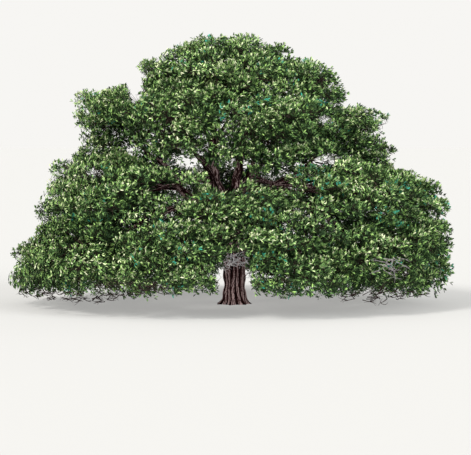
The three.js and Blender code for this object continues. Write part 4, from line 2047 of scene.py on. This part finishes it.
@dataclass
class Foliage:
    """The twigs and leaves of every mass, in one pair of pieces for each group of masses."""

    crown: Crown
    view: View
    end_droop: float = 0.55
    droop_span: tuple[float, float] = (8.8, 11.2)
    droop_heights: tuple[float, float] = (0.9, 3.0)
    line_points: int = 40
    trunk_points: int = 30

    GROUPS = {
        "skirt_back": ("skirt_1", "skirt_2", "skirt_3"),
        "skirt_left": ("skirt_4", "skirt_5", "skirt_6"),
        "skirt_front": ("skirt_7", "skirt_8", "skirt_9"),
        "shoulder_back": ("shoulder_1", "shoulder_2", "shoulder_3", "shoulder_4"),
        "shoulder_front": ("shoulder_5", "shoulder_6", "shoulder_7", "shoulder_8"),
        "upper": tuple(f"upper_{k}" for k in range(1, 7)),
        "top": (*(f"top_{k}" for k in range(1, 5)), "summit_1", "summit_2"),
    }

    def build(self) -> list[bpy.types.Object]:
        """Makes the twig and leaf pieces of every group of masses.

        Returns:
            The pieces.
        """
        limbs = {limb.mass.name: limb for limb in self.crown.limbs}
        wood = [limb.line(self.line_points) for limb in self.crown.limbs]
        heights = np.linspace(0, self.crown.trunk_top, self.trunk_points)
        wood.append((self.crown.trunk_centre(heights), self.crown.bole(heights)))
        clumps = ClumpPlan(self.crown).plan()
        twig_bark = TwigFinish("twig_bark").material()
        tints = [LEAF_FINISHES[tint].material() for tint in LeafTint]
        pieces = []
        for group, names in self.GROUPS.items():
            tubes, leaves = Tubes(), Leaves()
            for name in names:
                draw = np.random.default_rng(MASS_SEED + limbs[name].mass.seed)
                Growth(self.crown, self.view, wood, limbs[name], clumps[name], tubes, leaves, draw).grow()
            twigs = tubes.build(f"{group}_twigs")
            twigs.data.materials.append(twig_bark)
            green = leaves.build(f"{group}_leaves")
            for tint in tints:
                green.data.materials.append(tint)
            for piece in (twigs, green):
                self._droop(piece)
                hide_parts(*[f"foliage_{name}" for name in names])
                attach(piece, BODY)
                pieces.append(piece)
            LOG.info("%s: %d leaves", group, leaves.leaves)
        return pieces

    def _droop(self, piece: bpy.types.Object) -> None:
        """Lets the lowest sprays at the crown's far ends hang lower, as their weight does.

        Args:
            piece: A piece of twigs or leaves.
        """
        points = vertices_of(piece)
        far = smoothstep(np.abs(points[:, 0]), *self.droop_span)
        low = 1 - smoothstep(points[:, 2], *self.droop_heights)
        points[:, 2] -= self.end_droop * far * low
        set_vertices(piece, points)


@dataclass(frozen=True)
class Tangle:
    """A patch of bare twigs that shows on the front of the crown.

    An order of twigs has its length against the first, its foot's radius, and how many leave one twig
    of the order before.
    """

    x: float
    z: float
    half_x: float
    half_z: float
    count: int
    length: float
    heading: tuple[float, float, float]
    depth: float | None = None
    thickness: float = 1.0
    lowest: float = 0.6
    orders: tuple[tuple[float, float, int], ...] = ((1.0, 0.026, 1), (0.5, 0.016, 2))
    tip_radius: float = 0.006
    line_points: int = 8

    def grow(self, crown: Crown, tubes: Tubes, draw: np.random.Generator) -> None:
        """Grows the twigs, each with two side twigs, a little before the leaves.

        Args:
            crown: The crown's plan.
            tubes: Gathers the twigs.
            draw: The draws.
        """
        n = self.count
        x = self.x + self.half_x * draw.uniform(-1, 1, n)
        z = self.z + self.half_z * draw.uniform(-1, 1, n)
        y = (self._front(crown, x, z) if self.depth is None else self.depth) - draw.uniform(0, 0.2, n)
        start = np.stack([x, y, z], axis=-1)
        for length, radius, per in self.orders:
            start = np.repeat(start, per, axis=0)
            n = len(start)
            way = self.length * length
            sides = draw.choice((-1, 1), (n, 1)) * (1, 1, 0) + (0, 0, 1)
            aim = unit(np.array(self.heading) * sides + draw.normal(0, 0.42, (n, 3)))
            aim = aim * (1, 0.25, 1) * way * draw.uniform(0.6, 1.2, (n, 1))
            bend = draw.normal(0, 0.24, (2, n, 3)) * (1, 0.3, 1) * way
            corners = [start, start + aim * 0.4 + bend[0], start + aim * 0.7 + bend[1], start + aim]
            line = cubic(corners, np.linspace(0, 1, self.line_points))
            line[..., 2] = np.maximum(line[..., 2], self.lowest)
            radii = np.linspace(radius * self.thickness, self.tip_radius, self.line_points)
            tubes.add(line, radii, 4)
            start = line[:, 4]

    def _front(self, crown: Crown, x: np.ndarray, z: np.ndarray) -> np.ndarray:
        """How far forward the crown's leaves reach.

        Args:
            crown: The crown's plan.
            x: Places from the left to the right.
            z: Their heights.

        Returns:
            The Y of the foremost leafy point at each place.
        """
        front = np.full(len(x), -1.0)
        for y in np.arange(-1.0, -12.5, -0.25):
            leafy = crown.leafy(np.stack([x, np.full(len(x), y), z], axis=-1))
            front = np.where(leafy, y, front)
        return front


@dataclass(frozen=True)
class BareTwigs:
    """One piece of bare twigs, with its patches and its finish."""

    name: str
    finish: TwigFinish
    tangles: tuple[Tangle, ...]

    def build(self, crown: Crown) -> bpy.types.Object:
        """Makes the piece.

        Args:
            crown: The crown's plan.

        Returns:
            The piece.
        """
        draw = np.random.default_rng(TANGLE_SEED)
        tubes = Tubes()
        for tangle in self.tangles:
            tangle.grow(crown, tubes, draw)
        piece = tubes.build(self.name)
        piece.data.materials.append(self.finish.material())
        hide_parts(*[f"foliage_skirt_{k}" for k in range(5, 10)], "foliage_shoulder_7")
        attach(piece, BODY)
        return piece


BARE_TWIGS = (
    BareTwigs(
        "bare_pale_twigs",
        # Near-white bark, partly the twigs' own pale colour and partly a painted highlight that keeps
        # them bright in the crown's shade.
        TwigFinish("pale_twig_bark", (0.42, 0.4, 0.41), (0.95, 0.93, 0.94)),
        (Tangle(0.15, 2.9, 0.75, 0.3, 20, 0.95, (1.0, 0.0, -0.55), depth=-1.0, thickness=1.5),),
    ),
    BareTwigs(
        "bare_grey_twigs",
        TwigFinish("grey_twig_bark", (0.08, 0.07, 0.07), (0.36, 0.34, 0.34)),
        (Tangle(8.6, 3.05, 0.7, 0.35, 14, 0.85, (1.0, 0.0, -0.4), thickness=0.9),),
    ),
    BareTwigs(
        "bare_dark_twigs",
        # Near-black bark, partly the twigs' own dark colour and partly painted shade where they hang
        # under the crown.
        TwigFinish("dark_twig_bark", (0.01, 0.006, 0.006), (0.032, 0.021, 0.019)),
        (
            Tangle(-9.2, 1.15, 2.4, 0.25, 46, 0.6, (1.0, 0.0, 0.05)),
            Tangle(-12.2, 1.0, 0.5, 0.15, 8, 0.5, (1.0, 0.0, 0.05)),
            Tangle(8.2, 1.2, 2.3, 0.25, 36, 0.7, (1.0, 0.0, 0.1)),
            Tangle(-5.6, 1.6, 1.9, 0.4, 30, 0.8, (1.0, 0.0, 0.3)),
            Tangle(-8.3, 7.8, 0.6, 0.4, 12, 1.0, (1.0, 0.0, 0.6), depth=-1.0),
            Tangle(5.3, 8.4, 0.7, 0.25, 12, 1.0, (1.0, 0.0, 0.15), depth=-2.0),
        ),
    ),
)


@dataclass
class Studio:
    """A plain pale floor under soft light from the upper left."""

    floor_half: float = 2500.0
    sun: float = 3.85
    sun_spread: float = 14.0
    fill: float = 3.3
    fill_spread: float = 40.0
    back_fill: float = 0.6
    back_spread: float = 60.0
    warm: Colour = (1.0, 0.985, 0.95)
    cool: Colour = (0.95, 0.98, 1.0)
    sky: Colour = (0.93, 0.92, 0.895)
    sky_strength: float = 1.0
    lamp_distance: float = 60.0

    def build(self) -> None:
        """Makes the floor, the lights and the sky, and sets plain colour output."""
        bpy.ops.object.select_all(action="DESELECT")
        bpy.ops.mesh.primitive_plane_add(size=self.floor_half * 2, location=(0, 0, 0))
        floor = bpy.context.object
        floor.name = floor.data.name = "floor"
        floor.data.materials.append(FloorFinish("pale_floor").material())
        self._sun("key", KEY_FROM, self.sun, self.sun_spread, self.warm)
        self._sun("fill", FILL_FROM, self.fill, self.fill_spread, self.cool)
        self._sun("back_fill", BACK_FROM, self.back_fill, self.back_spread, self.cool)
        world = bpy.data.worlds.new("pale_room")
        bpy.context.scene.world = world
        world.use_nodes = True
        back = world.node_tree.nodes["Background"]
        back.inputs["Color"].default_value = (*self.sky, 1)
        back.inputs["Strength"].default_value = self.sky_strength
        bpy.context.scene.view_settings.view_transform = "Standard"

    def _sun(self, name: str, source: np.ndarray, power: float, spread: float, colour: Colour) -> None:
        """Adds one soft sun.

        Args:
            name: The lamp's name.
            source: The direction that its light comes from.
            power: Its strength.
            spread: How wide it looks, in degrees.
            colour: Its colour.
        """
        x, y, z = unit(source)
        bpy.ops.object.light_add(
            type="SUN",
            location=tuple(self.lamp_distance * unit(source)),
            rotation=(math.acos(z), 0, math.atan2(y, x) + math.pi / 2),
        )
        lamp = bpy.context.object
        lamp.name = name
        lamp.data.energy = power
        lamp.data.angle = math.radians(spread)
        lamp.data.color = colour


def main() -> None:
    """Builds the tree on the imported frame."""
    logging.basicConfig(level=logging.INFO, format="%(name)s: %(message)s")
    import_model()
    view = View()
    view.place()
    crown = Crown().plan()
    LOG.info("%d masses on %d limbs", len(crown.masses), len(crown.limbs))
    Studio().build()
    pieces = [*Wood(crown).build(), *Foliage(crown, view).build()]
    pieces += [twigs.build(crown) for twigs in BARE_TWIGS]
    for piece in pieces:
        LOG.info("%s: %d triangles", piece.name, triangles_of(piece))


if __name__ == "__main__":
    main()
